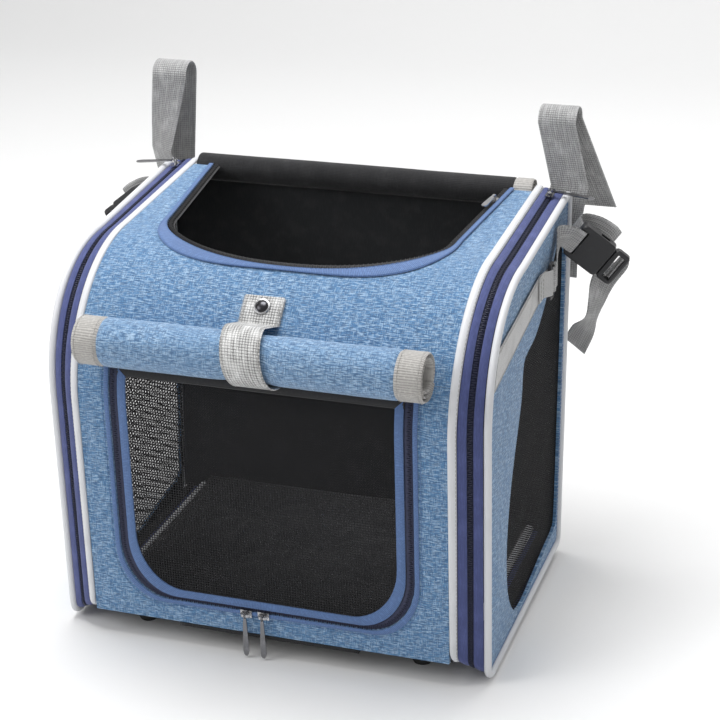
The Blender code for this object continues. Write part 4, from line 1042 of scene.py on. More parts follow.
def make_panels(sizes):
    """Front, top, side, back and base cloth."""
    def profile_out(co):
        local = co - basket_origin
        return Vector((0, *nearest_profile(Vector((local.y, local.z)))[1]))

    def profile_weave(co):
        local = co - basket_origin
        return co.x, nearest_profile(Vector((local.y, local.z)))[0]

    for node, name in (("front_panel", "front_cloth"), ("top_panel", "top_cloth")):
        cuts = (0, 2) if node == "front_panel" else (0, 1)
        obj = refined(node, name, cuts, profile_out, profile_weave, sizes)
        dressed(obj, ["blue_cloth", "lining"], "basket", [node])
    for side, sign in side_names:
        out = across_x * sign
        node = f"side_panel_{side}"
        obj = refined(
            node, f"side_cloth_{side}", (1, 2), lambda co: out, lambda co: (co.y, co.z), sizes, 1.3)
        dressed(obj, ["blue_cloth", "lining"], body_of_side(side), [node])
    rear = Vector((0, 0.99688, -0.07893))
    obj = refined(
        "back_panel", "back_cloth", (0, 2), lambda co: rear, lambda co: (co.x, co.z), sizes, 0.5)
    dressed(obj, ["black_cloth", "lining"], "basket", ["back_panel"])
    routes = []
    low, high = 0.016, 0.325
    for edge in (0.186, 0.060):
        corners = ((-edge, low), (edge, low), (edge, high), (-edge, high), (-edge, low))
        places = [Vector((x, rear_at(height) + stitch_rise, height)) for x, height in corners]
        routes.append([(place, rear) for place in places])
    stitching("back_stitches", routes, "grey_thread", "basket", sizes)
    obj = refined(
        "base_panel", "base_cloth", (0, 1), lambda co: -upwards, lambda co: (co.x, co.y), sizes,
        0.5)
    dressed(obj, ["black_cloth", "lining"], "basket", ["base_panel"])
    kept(["base_board"], "black_plastic")


def strip_object(name, start, end, rise, wall, sign, columns, ripple=0.0, sag=0.0):
    """A cloth strip along the right gusset between two places across it."""
    first = gusset_frames(*start)
    second = gusset_frames(*end)
    lengths = route_lengths([place for place, _, _ in first])
    waves_per_metre = 95

    def cell(step, share):
        near, far = first[step], second[step]
        out = near[2].lerp(far[2], 0.5).normalized()
        arch = math.sin(math.pi * share)
        spot = Vector((lengths[step] * waves_per_metre, share * 2, sign))
        wave = noise.noise(spot) * ripple * arch
        point = near[0].lerp(far[0], share) + out * (rise + wave + sag * arch)
        return moved(point, sign), (share * (far[0] - near[0]).length, lengths[step], 0)

    return cloth_grid(name, len(first), columns, wall, cell)


def pleat_object(name, sign):
    """The cloth folded inwards under a gusset's zip."""
    reach = zip_half_width + zip_side_gap + 0.0015
    fold_depth = 0.0045
    low = gusset_frames(1 / 2, -reach)
    high = gusset_frames(1 / 2, reach)
    lengths = route_lengths([place for place, _, _ in low])

    def cell(step, share):
        near, far = low[step], high[step]
        fold = 1 - abs(2 * share - 1)
        depth = -band_wall - 0.0008 - fold_depth * fold
        point = near[0].lerp(far[0], share) + near[2] * depth
        return moved(point, sign), (share * 0.012, lengths[step], 0)

    return cloth_grid(name, len(low), 10, 0.0008, cell)


def make_gussets(sizes):
    """Navy bands, folded pleats and the two zips that let the side walls fan out."""
    coil_gap = 0.0028
    band_cloth = 0.0016
    coil_drop, coil_reach, coil_height = 0.0004, 0.0020, 0.0018
    for side, sign in side_names:
        wall_body = body_of_side(side)
        bands = (
            ("inner", "basket", (0, front_piping_half_width + fit_gap), (1 / 2, -coil_gap)),
            ("outer", wall_body, (1 / 2, coil_gap), (1, -side_seam_reach + 0.0022)),
        )
        for part, body, start, end in bands:
            obj = strip_object(
                f"{part}_band_{side}", start, end, -band_wall / 2, band_cloth, sign, 6,
                ripple=0.0006, sag=0.0008)
            dressed(obj, "navy_band", body, [f"gusset_band_{part}_{side}"])
        obj = pleat_object(f"pleat_{side}", sign)
        blend = ("basket", wall_body, (sign * 0.1885, 0, 0), (sign * 0.1925, 0, 0))
        dressed(obj, "black_cloth", None, [f"gusset_pleat_{side}"], blend)
        edges = ((1 / 2, -zip_half_width), (1 / 2, zip_half_width))
        obj = strip_object(f"gusset_tape_{side}", *edges, -0.0023, 0.0006, sign, 4)
        dressed(obj, "navy_tape", "basket", [f"gusset_zip_{side}"])
        line = gusset_frames(1 / 2, 0)
        coil_object(
            f"gusset_coil_{side}", [(place + out * -coil_drop, out) for place, _, out in line],
            [wide for _, wide, _ in line], "coil", "basket", coil_reach, coil_height, sizes, sign)
        seam = zip_half_width + 0.0024
        seams = (
            ("inner", "basket", ((0, front_piping_half_width + 0.0019), (1 / 2, -seam))),
            ("outer", wall_body, ((1 / 2, seam), (1, -side_seam_reach - 0.0008))),
        )
        for part, body, lines in seams:
            routes = [
                [(place + out * 0.0001, out) for place, _, out in gusset_frames(*line)]
                for line in lines]
            stitching(
                f"{part}_band_stitches_{side}", routes, "navy_thread", body, sizes,
                sign)


def bead_object(name, points, frames, half_width, half_height, sign, closed):
    """A cord of oval section along a row of points."""
    sides = 14
    rings = []
    turns = [2 * math.pi * step / sides for step in range(sides)]
    for point, (wide, tall) in zip(points, frames):
        ring = []
        for turn in turns:
            aside = wide * half_width * math.cos(turn)
            ring.append(moved(point + aside + tall * half_height * math.sin(turn), sign))
        rings.append(ring)
    return ring_object(name, rings, closed)


def make_piping(sizes):
    """White piping along the front edges and round the side walls."""
    for side, sign in side_names:
        body = body_of_side(side)
        line = gusset_frames(0, 0)
        obj = bead_object(
            f"front_cord_{side}", [place - out * front_piping_drop for place, _, out in line],
            [(wide, out) for _, wide, out in line], front_piping_half_width,
            front_piping_half_height, sign, False)
        dressed(obj, "white_piping", "basket", [f"front_piping_{side}"])
        route = [(place + wide * 0.0027 + out * 0.0008, out) for place, wide, out in line]
        stitching(
            f"front_cord_stitches_{side}", [route], "grey_thread", "basket", sizes,
            sign)
        loop = side_loop()
        points = [Vector((half_side, *point)) for point in loop]
        outs = [Vector((0, run.y, -run.x)) for run in route_runs(loop, closed=True)]
        obj = bead_object(
            f"side_cord_{side}", points, [(across_x, out) for out in outs],
            side_piping_radius, side_piping_radius, sign, True)
        dressed(obj, "white_piping", body, [f"side_piping_{side}"])
        seam = side_piping_radius + 0.0020
        route = [
            (point - out * seam + across_x * 0.0003, across_x) for point, out in zip(points, outs)]
        stitching(
            f"side_seam_stitches_{side}", [route[1:]], "blue_thread", body, sizes,
            sign)


def band_object(name, place, outer, inner, low, high, columns, crown):
    """A binding between two outlines on the front or on the top."""
    lengths = route_lengths([place(*pair, high) for pair in outer])

    def cell(step, share):
        a, b = outer[step], inner[step]
        rise = (low + high) / 2 + crown * math.sin(math.pi * share)
        point = place(lerp(a[0], b[0], share), lerp(a[1], b[1], share), rise)
        return moved(point), (share * 0.006, lengths[step], 0)

    return cloth_grid(name, len(outer), columns, (high - low) * 0.9, cell)


def outline_wides(outline, place):
    """Points, outward directions and width directions along an outline."""
    points = [place(*pair, 0) for pair in outline]
    lifted = [place(*pair, 0.001) for pair in outline]
    ups = [(b - a).normalized() for a, b in zip(points, lifted)]
    return points, ups, [up.cross(run).normalized() for up, run in zip(ups, route_runs(points))]


def outline_route(outline, place, rise):
    """(point, up) pairs along an outline, lifted off the cloth."""
    points, ups, _ = outline_wides(outline, place)
    return [(point + up * rise, up) for point, up in zip(points, ups)]


def make_door(sizes):
    """Mesh door with its zip, binding and stitching."""
    edge = door_outline(fit_gap, fit_gap, 0)
    inner = door_outline(0.008, 0.003, 0)
    obj = band_object("door_tape", on_front, edge, inner, -0.0016, -0.0004, 3, 0)
    dressed(obj, "navy_tape", "door", ["door_zip"])
    middle = [(lerp(a[0], b[0], 0.42), lerp(a[1], b[1], 0.42)) for a, b in zip(edge, inner)]
    points, ups, wides = outline_wides(middle, on_front)
    route = [(point - up * 0.0001, up) for point, up in zip(points, ups)]
    coil_object("door_coil", route, wides, "coil", "door", 0.0017, 0.0015, sizes)
    outer = door_outline(0.0083, 0.0033, 0)
    inner = door_outline(0.0165, 0.0110, 0.008)
    obj = band_object("door_tape_edge", on_front, outer, inner, -0.0014, 0.0006, 6, 0.0008)
    dressed(obj, "royal_binding", "door", ["door_binding"])
    outer = door_outline(-0.0046, -0.0040, 0)
    inner = door_outline(-0.0002, -0.0002, 0)
    obj = band_object("door_fold", on_front, outer, inner, 0, 0.0012, 6, 0.0006)
    dressed(obj, "royal_binding", "basket")
    make_door_head()
    make_door_net()
    routes = []
    for inset in ((0.0093, 0.0042, 0.0012), (0.0156, 0.0100, 0.0068)):
        routes.append(outline_route(door_outline(*inset), on_front, 0.0008))
    stitching("door_stitches", routes, "blue_thread", "door", sizes)
    routes = [outline_route(door_outline(-0.0068, -0.0062, 0), on_front, 0.0005)]
    stitching("door_surround_stitches", routes, "blue_thread", "basket", sizes)


def make_door_head():
    """Black tape along the door's sewn upper edge."""
    top = door_hinge_height - fit_gap
    half = door_half_width - 0.0083
    tape_width = 0.008
    steps = 40

    def cell(step, share):
        x = lerp(-half, half, step / steps)
        height = lerp(top, top - tape_width, share)
        rise = -0.0004 + 0.0004 * math.sin(math.pi * share)
        return moved(on_front(x, height, rise)), (top - height, x, 0)

    obj = cloth_grid("door_head_binding", steps + 1, 4, 0.0018, cell)
    dressed(obj, "black_tape", "door")


def make_door_net():
    """The door's mesh, which bellies a little between its bindings."""
    outline = door_outline(0.0122, 0.0062, 0.0078)
    half = len(outline) // 2 + 1
    belly_depth = 0.0012
    ripple = 0.0008

    def cell(step, across):
        x, height = outline[step]
        share = 1 - 2 * across
        belly = (1 - share ** 2) * math.sin(math.pi * (height - 0.03) / 0.21)
        wave = noise.noise(Vector((x * share * 30, height * 24, 2))) * ripple
        rise = -0.0006 + (belly * belly_depth + wave) * (1 - share ** 8)
        return moved(on_front(x * share, height, rise)), (x * share, height, 0)

    obj = cloth_grid("door_net", half, 40, 0.0005, cell)
    dressed(obj, "black_mesh", "door", ["door_mesh"])


def make_top_opening(sizes):
    """Binding and zip round the opening in the top."""
    edge = opening_outline(-fit_gap)
    inner = opening_outline(-0.007)
    obj = band_object("top_tape", on_top, edge, inner, -0.0016, -0.0004, 3, 0)
    dressed(obj, "black_tape", "basket", ["top_zip"])
    points, ups, wides = outline_wides(opening_outline(-0.0030), on_top)
    route = [(point + up * 0.0004, up) for point, up in zip(points, ups)]
    coil_object("top_coil", route, wides, "black_coil", "basket", 0.0024, 0.0022, sizes)
    outer = opening_outline(0.0045, 0.0105)
    obj = band_object("top_binding", on_top, outer, opening_outline(0), 0.0006, 0.0021, 8, 0.0004)
    dressed(obj, "royal_binding", "basket", ["top_opening_binding"])
    routes = []
    for grow, corner in ((0.0008, 0.0004), (0.0037, 0.0101)):
        routes.append(outline_route(opening_outline(grow, corner), on_top, 0.0024))
    stitching("top_stitches", routes, "blue_thread", "basket", sizes)


def roll_object(name, centre, radius, cloth, gap, turns, end_turn, start, end, squeeze, seed):
    """A rolled cloth between two places along x, with creases along the roll.

    end_turn is the angle at which the cloth's free end lies, and squeeze how far a strap round
    the roll draws it in.
    """
    columns = max(round((end - start) / 0.006), 3)
    steps = round(turns * 26)
    crease_depth, fine_depth = 0.0011, 0.0003
    strap_x, strap_reach = 0.002, 0.024

    def cell(step, share):
        turn = 2 * math.pi * turns * step / steps
        x = lerp(start, end, share)
        outer = max(1 - turn / (2 * math.pi), 0)
        crease = noise.noise(Vector((x * 9, math.cos(turn) * 1.6, math.sin(turn) * 1.6 + seed)))
        fine = noise.noise(Vector((x * 30, math.cos(turn) * 4, math.sin(turn) * 4 + seed)))
        tight = squeeze * math.exp(-((x - strap_x) / strap_reach) ** 4)
        drop = (0.35 + crease) * crease_depth + fine * fine_depth
        reach = radius - cloth / 2 - (cloth + gap) * turn / (2 * math.pi)
        reach -= max(drop + tight, 0) * (0.35 + 0.65 * outer)
        angle = end_turn - turn
        y, z = centre[0] + math.cos(angle) * reach, centre[1] + math.sin(angle) * reach
        return moved(Vector((x, y, z))), (x, turn * reach, 0)

    return cloth_grid(name, steps + 1, columns, cloth * 0.8, cell)


def make_rolls(sizes):
    """The rolled front flap with its grey ends, and the rolled flap of the top opening."""
    cloth, gap, turns, end_turn = 0.0030, 0.0012, 2.3, math.radians(-37)
    settings = (flap_centre, flap_roll_radius, cloth, gap, turns, end_turn)
    obj = roll_object("front_flap_roll", *settings, -0.136, 0.136, 0.0016, 1)
    dressed(obj, "flap_cloth", "basket", ["privacy_flap_roll"])
    for side, start, end in (("left", -0.160, -0.1358), ("right", 0.1358, 0.160)):
        obj = roll_object(f"front_flap_binding_{side}", *settings, start, end, 0, 1)
        dressed(obj, "grey_binding", "basket", [f"privacy_flap_binding_{side}"])
        routes = []
        for x in (start + 0.003, end - 0.003):
            route = []
            for step in range(41):
                angle = end_turn - 2 * math.pi * step / 40
                out = Vector((0, math.cos(angle), math.sin(angle)))
                middle = Vector((x, *flap_centre))
                reach = flap_roll_radius - 0.0004 - 0.0042 * step / 40
                route.append((middle + out * reach, out))
            routes.append(route)
        name = f"front_flap_stitches_{side}"
        stitching(name, routes, "grey_thread", "basket", sizes)
    cloth, gap, turns, end_turn = 0.0022, 0.0010, 3.0, math.radians(-80)
    settings = (cover_centre, cover_roll_radius, cloth, gap, turns, end_turn)
    obj = roll_object("top_cover_roll", *settings, -0.172, 0.154, 0, 4)
    dressed(obj, "black_cloth", "basket", ["top_flap_roll"])
    end = roll_object("top_cover_binding", *settings, 0.1538, 0.172, 0, 4)
    dressed(end, "grey_binding", "basket")


def touch_turn(point, direction):
    """Turn round the rolled front flap at which a straight strap from a point meets it."""
    offset = Vector((point.y - flap_centre[0], point.z - flap_centre[1]))
    return math.atan2(offset.y, offset.x) + direction * math.acos(strap_orbit / offset.length)


def make_flap_strap(sizes):
    """The strap round the rolled front flap, with its stitches and snap."""
    lie = 0.0011
    foot_x, tab_x = 0.010, -0.006
    foot = on_front(0, 0.2585, lie)
    tab = [on_top(0, lerp(0.030, 0.049, step / 8), 0.0012 + lie) for step in range(9)]
    start = touch_turn(foot, -1)
    end = touch_turn(tab[0], 1) - 2 * math.pi
    points = [foot]
    middle = Vector((0, *flap_centre))
    for step in range(37):
        turn = lerp(start, end, step / 36)
        points.append(middle + Vector((0, math.cos(turn), math.sin(turn))) * strap_orbit)
    for step, point in enumerate(points):
        point.x = foot_x - (foot_x - tab_x) * max(step - 1, 0) / 36
    for point in tab:
        point.x = tab_x
    bridge = [points[-1].lerp(tab[0], step / 4) for step in range(1, 4)]
    points += bridge + tab
    obj = strap_object("flap_band", points, [across_x] * len(points), 0.037, 0.0015, 1, 12)
    blend = ("basket", "snap", (tab_x, -0.1487, 0.3287), (tab_x, -0.128, 0.332))
    dressed(obj, "grey_strap", None, ["flap_strap"], blend)
    routes = []
    for edge in (-0.0165, 0.0165):
        route = []
        for point, run in zip(points[:-1], route_runs(points)):
            out = across_x.cross(run).normalized()
            route.append((point + across_x * edge + out * stitch_rise, out))
        routes.append(route)
    stitching(
        "flap_band_stitches", routes, "grey_thread", None, sizes, blend=blend)
    make_fringe(tab, blend)
    make_snap(tab_x)


def make_fringe(tab, blend):
    """Short frayed threads along both edges of the strap's tab."""
    places = []
    faces = []
    root_reach, thread_reach, uneven = 0.0180, 0.0016, 0.0012
    for first, second in zip(tab, tab[1:]):
        out = across_x.cross(second - first).normalized()
        for step in range(4):
            root = first.lerp(second, step / 4)
            for sign in (-1, 1):
                aside = across_x * sign
                shift = noise.noise(root * 900 + aside) * uneven
                start = root + aside * root_reach
                end = start + aside * (thread_reach + abs(shift)) + backwards * shift
                capsule(places, faces, start, end - out * 0.0004, out, 0.0005, 0.0004)
    obj = mesh_object("flap_band_fringe", [moved(place) for place in places], faces)
    dressed(obj, "grey_thread", None, (), blend)


def make_snap(x):
    """The rim and dome of the snap on the strap's tab."""
    place, out = profile_place(0.041, 0)
    axis = Vector((0, *out))
    other = axis.cross(across_x)
    seat = moved(Vector((x, *place))) + axis * 0.0031
    turns = [2 * math.pi * step / 40 for step in range(40)]
    for name, look, nodes, stations in snap_parts:
        rings = []
        for far, radius in stations:
            middle = seat + axis * far
            rings.append([
                middle + (across_x * math.cos(turn) + other * math.sin(turn)) * radius
                for turn in turns])
        dressed(ring_object(name, rings), look, "snap", nodes)


def bar_turn_points(bar, start, end):
    """Points of webbing that goes round an upright bar, seen from above."""
    radius = loop_bar / 2 + fit_gap + webbing_wall / 2
    points = []
    for step in range(13):
        turn = lerp(start, end, step / 12)
        points.append(bar + Vector((math.cos(turn), math.sin(turn), 0)) * radius)
    return points


def loop_bar_place(direction):
    return Vector((loop_x, loop_depth + direction * (loop_slot + loop_bar) / 2, loop_height))


def rim_depth_at(height):
    for first, second in zip(side_rim, side_rim[1:]):
        if second.y <= height <= first.y:
            return lerp(second.x, first.x, (height - second.y) / (first.y - second.y))
    raise ValueError("the side wall has no edge at this height")


def strip_route():
    """Rows of the reflective strip, from its wide front end to its hem."""
    bar = loop_bar_place(-1)
    lie = half_side + strip_rise + webbing_wall / 2
    over = lie + webbing_wall + fit_gap
    edge_gap, narrow_reach = 0.0041, 0.016
    low, high = 0.256, 0.290
    low_front = Vector((lie, rim_depth_at(low) + edge_gap, low))
    high_front = Vector((lie, rim_depth_at(high) + edge_gap, high))
    low_rear = Vector((lie, bar.y - narrow_reach, loop_height - webbing_width / 2))
    high_rear = Vector((lie, bar.y - narrow_reach, loop_height + webbing_width / 2))
    rows = []
    for step in range(strip_steps):
        share = step / strip_steps
        rows.append((low_front.lerp(low_rear, share), high_front.lerp(high_rear, share)))
    points = [Vector((lie, bar.y - narrow_reach, loop_height))]
    points += bar_turn_points(bar, math.pi, 0)
    points += [Vector((over, bar.y - reach, loop_height)) for reach in (0.008, 0.016, 0.024)]
    half = upwards * webbing_width / 2
    return rows + [(point - half, point + half) for point in points]


def make_reflective_strip(side, sign, body, sizes):
    """The strip from the front edge of a side wall to its loop, with its stitches."""
    pairs = strip_route()
    lengths = route_lengths([(low + high) / 2 for low, high in pairs])

    def cell(step, share):
        low, high = pairs[step]
        flat = ((share - 0.5) * (high - low).length, lengths[step], 0)
        return moved(low.lerp(high, share), sign), flat

    obj = cloth_grid(f"reflective_band_{side}", len(pairs), 8, webbing_wall * 0.9, cell)
    dressed(obj, "reflective_tape", body, [f"reflective_strip_{side}"])
    routes = []
    for share in (0.07, 0.93):
        rise = across_x * stitch_rise
        routes.append([
            (low.lerp(high, share) + rise, across_x) for low, high in pairs[:strip_steps]])
    hem_y = loop_bar_place(-1).y - 0.020
    hem_x = half_side + strip_rise + webbing_wall * 2 + fit_gap + 0.0002
    for shift in (0.0, 0.008):
        ends = [Vector((hem_x, hem_y + shift, loop_height + part * 0.011)) for part in (-1, 1)]
        routes.append([(end, across_x) for end in ends])
    stitching(
        f"reflective_stitches_{side}", routes, "grey_thread", body, sizes, sign)


def loop_webbing_line():
    """Middle line and width directions of the webbing from its hem at the loop to its tail."""
    socket_wall, slot_length, slot_lead = 0.004, 0.005, 0.005
    slot_middle = socket_wall + slot_length / 2 - buckle_half
    off = 0.0125 / 2
    bar = loop_bar_place(1)
    aside = across_x * (webbing_wall + fit_gap) / 2
    grip = bar + backwards * 0.009
    end = bar + backwards * 0.014
    hem = [end - aside, grip - aside, *bar_turn_points(bar, math.pi, 2 * math.pi), grip + aside]
    free = [end + aside]
    free += [buckle_share_place(shares) for shares in webbing_front_shares]
    free += [
        buckle_place(slot_middle - slot_lead, 0, off + 2 * webbing_wall),
        buckle_place(slot_middle, 0, off),
        buckle_place(slot_middle, 0, -off),
        buckle_place(slot_middle - slot_lead, 0, -off - 2 * webbing_wall),
    ]
    free += [buckle_share_place(shares) for shares in webbing_tail_shares]
    widths = [upwards] * 3 + [buckle_across] * (len(free) - 3)
    return hem + smooth_route(free, 8), [upwards] * len(hem) + smooth_route(widths, 8)


def stabiliser_line():
    """Middle line and width directions of the strap from the plug's slot to the back panel."""
    plug_wall, slot_length, slot_reach = 0.0035, 0.008, 0.0022
    slot_middle = buckle_half - plug_wall - slot_length / 2
    off = 0.0085 / 2
    seam_height = 0.192
    points = [
        buckle_place(slot_middle - slot_reach, 0, off - webbing_wall),
        buckle_place(slot_middle + slot_reach, 0, -off - webbing_wall),
    ]
    across = [buckle_across, buckle_across]
    for place, direction in stabiliser_shares:
        points.append(buckle_share_place(place))
        across.append(buckle_direction(direction))
    points.append(Vector((half_side + 0.009, rear_at(seam_height) + 0.004, seam_height)))
    across.append(Vector((buckle_run.x, 0, buckle_run.z)))
    return smooth_route(points, 8), smooth_route(across, 8)


def make_side_trim(sizes):
    """Reflective strips, loops, webbing and stabiliser straps of the side walls."""
    cloth = webbing_wall * 0.9
    for side, sign in side_names:
        body = body_of_side(side)
        make_reflective_strip(side, sign, body, sizes)
        points, across = loop_webbing_line()
        obj = strap_object(f"side_webbing_{side}", points, across, webbing_width, cloth, sign)
        dressed(obj, "grey_webbing", body, [f"loop_webbing_{side}"])
        points, across = stabiliser_line()
        name = f"stabiliser_webbing_{side}"
        obj = strap_object(name, points, across, webbing_width, cloth, sign)
        start = turned_frame_point((0.2350, 0.1440, 0.2620), sign)
        end = turned_frame_point((0.2530, 0.1250, 0.2960), sign)
        blend = (body, f"plug_{side}", start, end)
        dressed(obj, "grey_webbing", None, [f"stabiliser_strap_{side}"], blend)
    kept(["side_loop_left", "side_loop_right"], "black_plastic")


def finish_hardware():
    """Side release buckles, zip sliders, pulls and feet, which keep their solids."""
    buckles = [f"buckle_{part}_{side}" for part in ("socket", "plug") for side in ("left", "right")]
    kept(buckles, "black_plastic", 0.0004)
    sliders = ["top_zip_slider"]
    pulls = []
    for side, _ in side_names:
        sliders += [f"door_slider_{side}", f"gusset_slider_{side}"]
        pulls += [f"door_pull_{side}", f"gusset_pull_{side}"]
    kept(sliders, "chrome", 0.00025)
    kept(pulls, "zip_metal", 0.0002)
    feet = [f"foot_{row}_{side}" for row in ("front", "rear") for side in ("left", "right")]
    kept(feet, "black_rubber", 0.0006)


def bar_strap_points(neck_turn, neck_x, head_x, tail_x, top):
    """Middle line and width directions of a bar strap: up the back, over and down again."""
    half = 0.038 / 2
    wall = 0.0018
    face = 0.0009 + wall / 2
    radius = 0.0135
    foot_height, sewn_height, neck_height, tail_height = 0.262, 0.300, 0.352, 0.325
    head_height = top - wall / 2 - radius
    rows = (
        (bar_strap_x, foot_height, 0), (bar_strap_x, sewn_height, 0),
        (neck_x, neck_height, neck_turn), (head_x, head_height, 0))
    points = []
    across = []
    for x, height, turn in rows:
        depth = min(rear_at(height), rear_head_depth) + face + half * math.sin(turn)
        points.append(Vector((x, depth, height)))
        across.append(Vector((math.cos(turn), math.sin(turn), 0)))
    dense = []
    widths = []
    for (a, b), (c, d) in zip(zip(points, points[1:]), zip(across, across[1:])):
        for step in range(9):
            dense.append(a.lerp(b, step / 9))
            widths.append(c.lerp(d, step / 9))
    dense.append(points[-1])
    widths.append(across[-1])
    middle = points[-1] + backwards * radius
    for step in range(1, 25):
        turn = math.pi * (1 - step / 24)
        dense.append(middle + Vector((0, math.cos(turn), math.sin(turn))) * radius)
    last = dense[-1]
    tail = Vector((tail_x, last.y, tail_height))
    dense += [last.lerp(tail, step / 16) for step in range(1, 17)]
    widths += [across_x] * (len(dense) - len(widths))
    return dense, widths


def make_bar_straps(sizes):
    """Straps of coarse webbing that hold the basket to its bar, sewn to the back panel."""
    straps = (
        ("left", -1, math.radians(35), 0.224, 0.205, 0.214, 0.446),
        ("right", 1, 0, 0.204, 0.191, 0.226, 0.426),
    )
    width, cloth = 0.0365, 0.0015
    half, low, high = 0.014, 0.266, 0.292
    box = ((-half, low), (half, low), (half, high), (-half, high), (-half, low))
    lift = stitch_rise + 0.0020
    for side, sign, *places in straps:
        points, across = bar_strap_points(*places)
        obj = strap_object(f"bar_strap_{side}", points, across, width, cloth, sign, 10)
        dressed(obj, "grey_webbing", "basket", [f"handlebar_strap_{side}"])
        corners = [
            (Vector((bar_strap_x + x, rear_at(h) + lift, h)), backwards) for x, h in box]
        routes = [corners, [corners[0], corners[2]], [corners[1], corners[3]]]
        stitching(
            f"bar_strap_stitches_{side}", routes, "grey_thread", "basket", sizes,
            sign)


def make_windows(sizes):
    """Mesh windows of the side walls."""
    for side, sign in side_names:
        out = across_x * sign
        node = f"side_mesh_{side}"
        obj = refined(
            node, f"side_net_{side}", (1, 2), lambda co: out, lambda co: (co.y, co.z), sizes, 0.6,
            inward=True)
        dressed(obj, ["side_net", "side_net"], body_of_side(side), [node])


def make_cushion():
    """A crowned pad with a sewn edge and five tufts."""
    front = panel_wall + fit_gap + 0.004
    length = rear_at(0) - 0.005 - fit_gap - 0.004 - front
    half = half_front - front_piping_half_width - fit_gap - fit_gap - 0.004
    tufts = ((-0.5, 0.3), (0.5, 0.3), (0.0, 0.5), (-0.5, 0.7), (0.5, 0.7))
    columns = 88
    rows_count = 68
    low, edge_rise, crown_rise = 0.0033, 0.009, 0.0135
    tuft_depth, tuft_reach, fold_reach = 0.0075, 0.026, 0.07
    side_pull = 0.005
    places = []
    flat = []
    for row in range(rows_count + 1):
        v = row / rows_count
        for column in range(columns + 1):
            u = 2 * column / columns - 1
            pull_x = side_pull * (1 - (2 * v - 1) ** 2)
            pull_y = side_pull * (1 - u * u)
            crown = math.sqrt(max((1 - u ** 4) * (1 - (2 * v - 1) ** 4), 0))
            height = low + edge_rise + crown_rise * crown
            for tuft_u, tuft_v in tufts:
                dx, dy = (u - tuft_u) * half, (v - tuft_v) * length
                away = math.hypot(dx, dy)
                folds = math.cos(5 * math.atan2(dy, dx)) ** 2
                dip = math.exp(-(away / tuft_reach) ** 2)
                dip += 0.25 * math.exp(-(away / fold_reach) ** 2) * folds
                height -= tuft_depth * dip
            height += 0.0009 * noise.noise(Vector((u * 6, v * 6, 1))) * crown
            edge = min(1 - abs(u), 2 * min(v, 1 - v))
            height += 0.0006 * noise.noise(Vector((u * 30, v * 24, 4))) * math.exp(-edge * 12)
            x = u * (half - pull_x)
            y = front + pull_y + v * (length - 2 * pull_y)
            places.append(Vector((x, y, max(height, low + 0.004))) + basket_origin)
            flat.append((x, y, 0))
    faces = []
    wide = columns + 1
    for row in range(rows_count):
        for column in range(columns):
            a = row * wide + column
            faces.append((a, a + 1, a + 1 + wide, a + wide))
    edge = [step for step in range(columns)]
    edge += [row * wide + columns for row in range(rows_count)]
    edge += [rows_count * wide + step for step in range(columns, 0, -1)]
    edge += [row * wide for row in range(rows_count, 0, -1)]
    base = len(places)
    centre = Vector((0, front + length / 2, 0)) + basket_origin
    for ring, (share, height) in enumerate(((1.006, low + 0.0045), (1.0, low))):
        for step in edge:
            place = places[step]
            y = centre.y + (place.y - centre.y) * share
            places.append(Vector((place.x * share, y, height + basket_origin.z)))
            flat.append((place.x, place.y + 0.008 * (ring + 1), 0))
    count = len(edge)
    for step in range(count):
        after = (step + 1) % count
        faces.append((edge[step], edge[after], base + after, base + step))
        faces.append((base + step, base + after, base + count + after, base + count + step))
    faces.append(tuple(range(base + count, base + 2 * count)))
    obj = mesh_object("cushion", places, faces, flat)
    dressed(obj, "cushion_cloth", "basket", ["cushion_pad"])
    places = []
    faces = []
    for tuft_u, tuft_v in tufts:
        x, y = tuft_u * half, front + tuft_v * length
        crown = math.sqrt((1 - tuft_u ** 4) * (1 - (2 * tuft_v - 1) ** 4))
        centre = Vector((x, y, low + edge_rise + crown_rise * crown - 0.0078))
        for arm in (-1, 1):
            reach = Vector((0.003, 0.003 * arm, 0))
            capsule(places, faces, centre - reach, centre + reach, upwards, 0.0012, 0.0012)
    obj = mesh_object("cushion_tufts", [moved(place) for place in places], faces)
    dressed(obj, "black_thread", "basket")


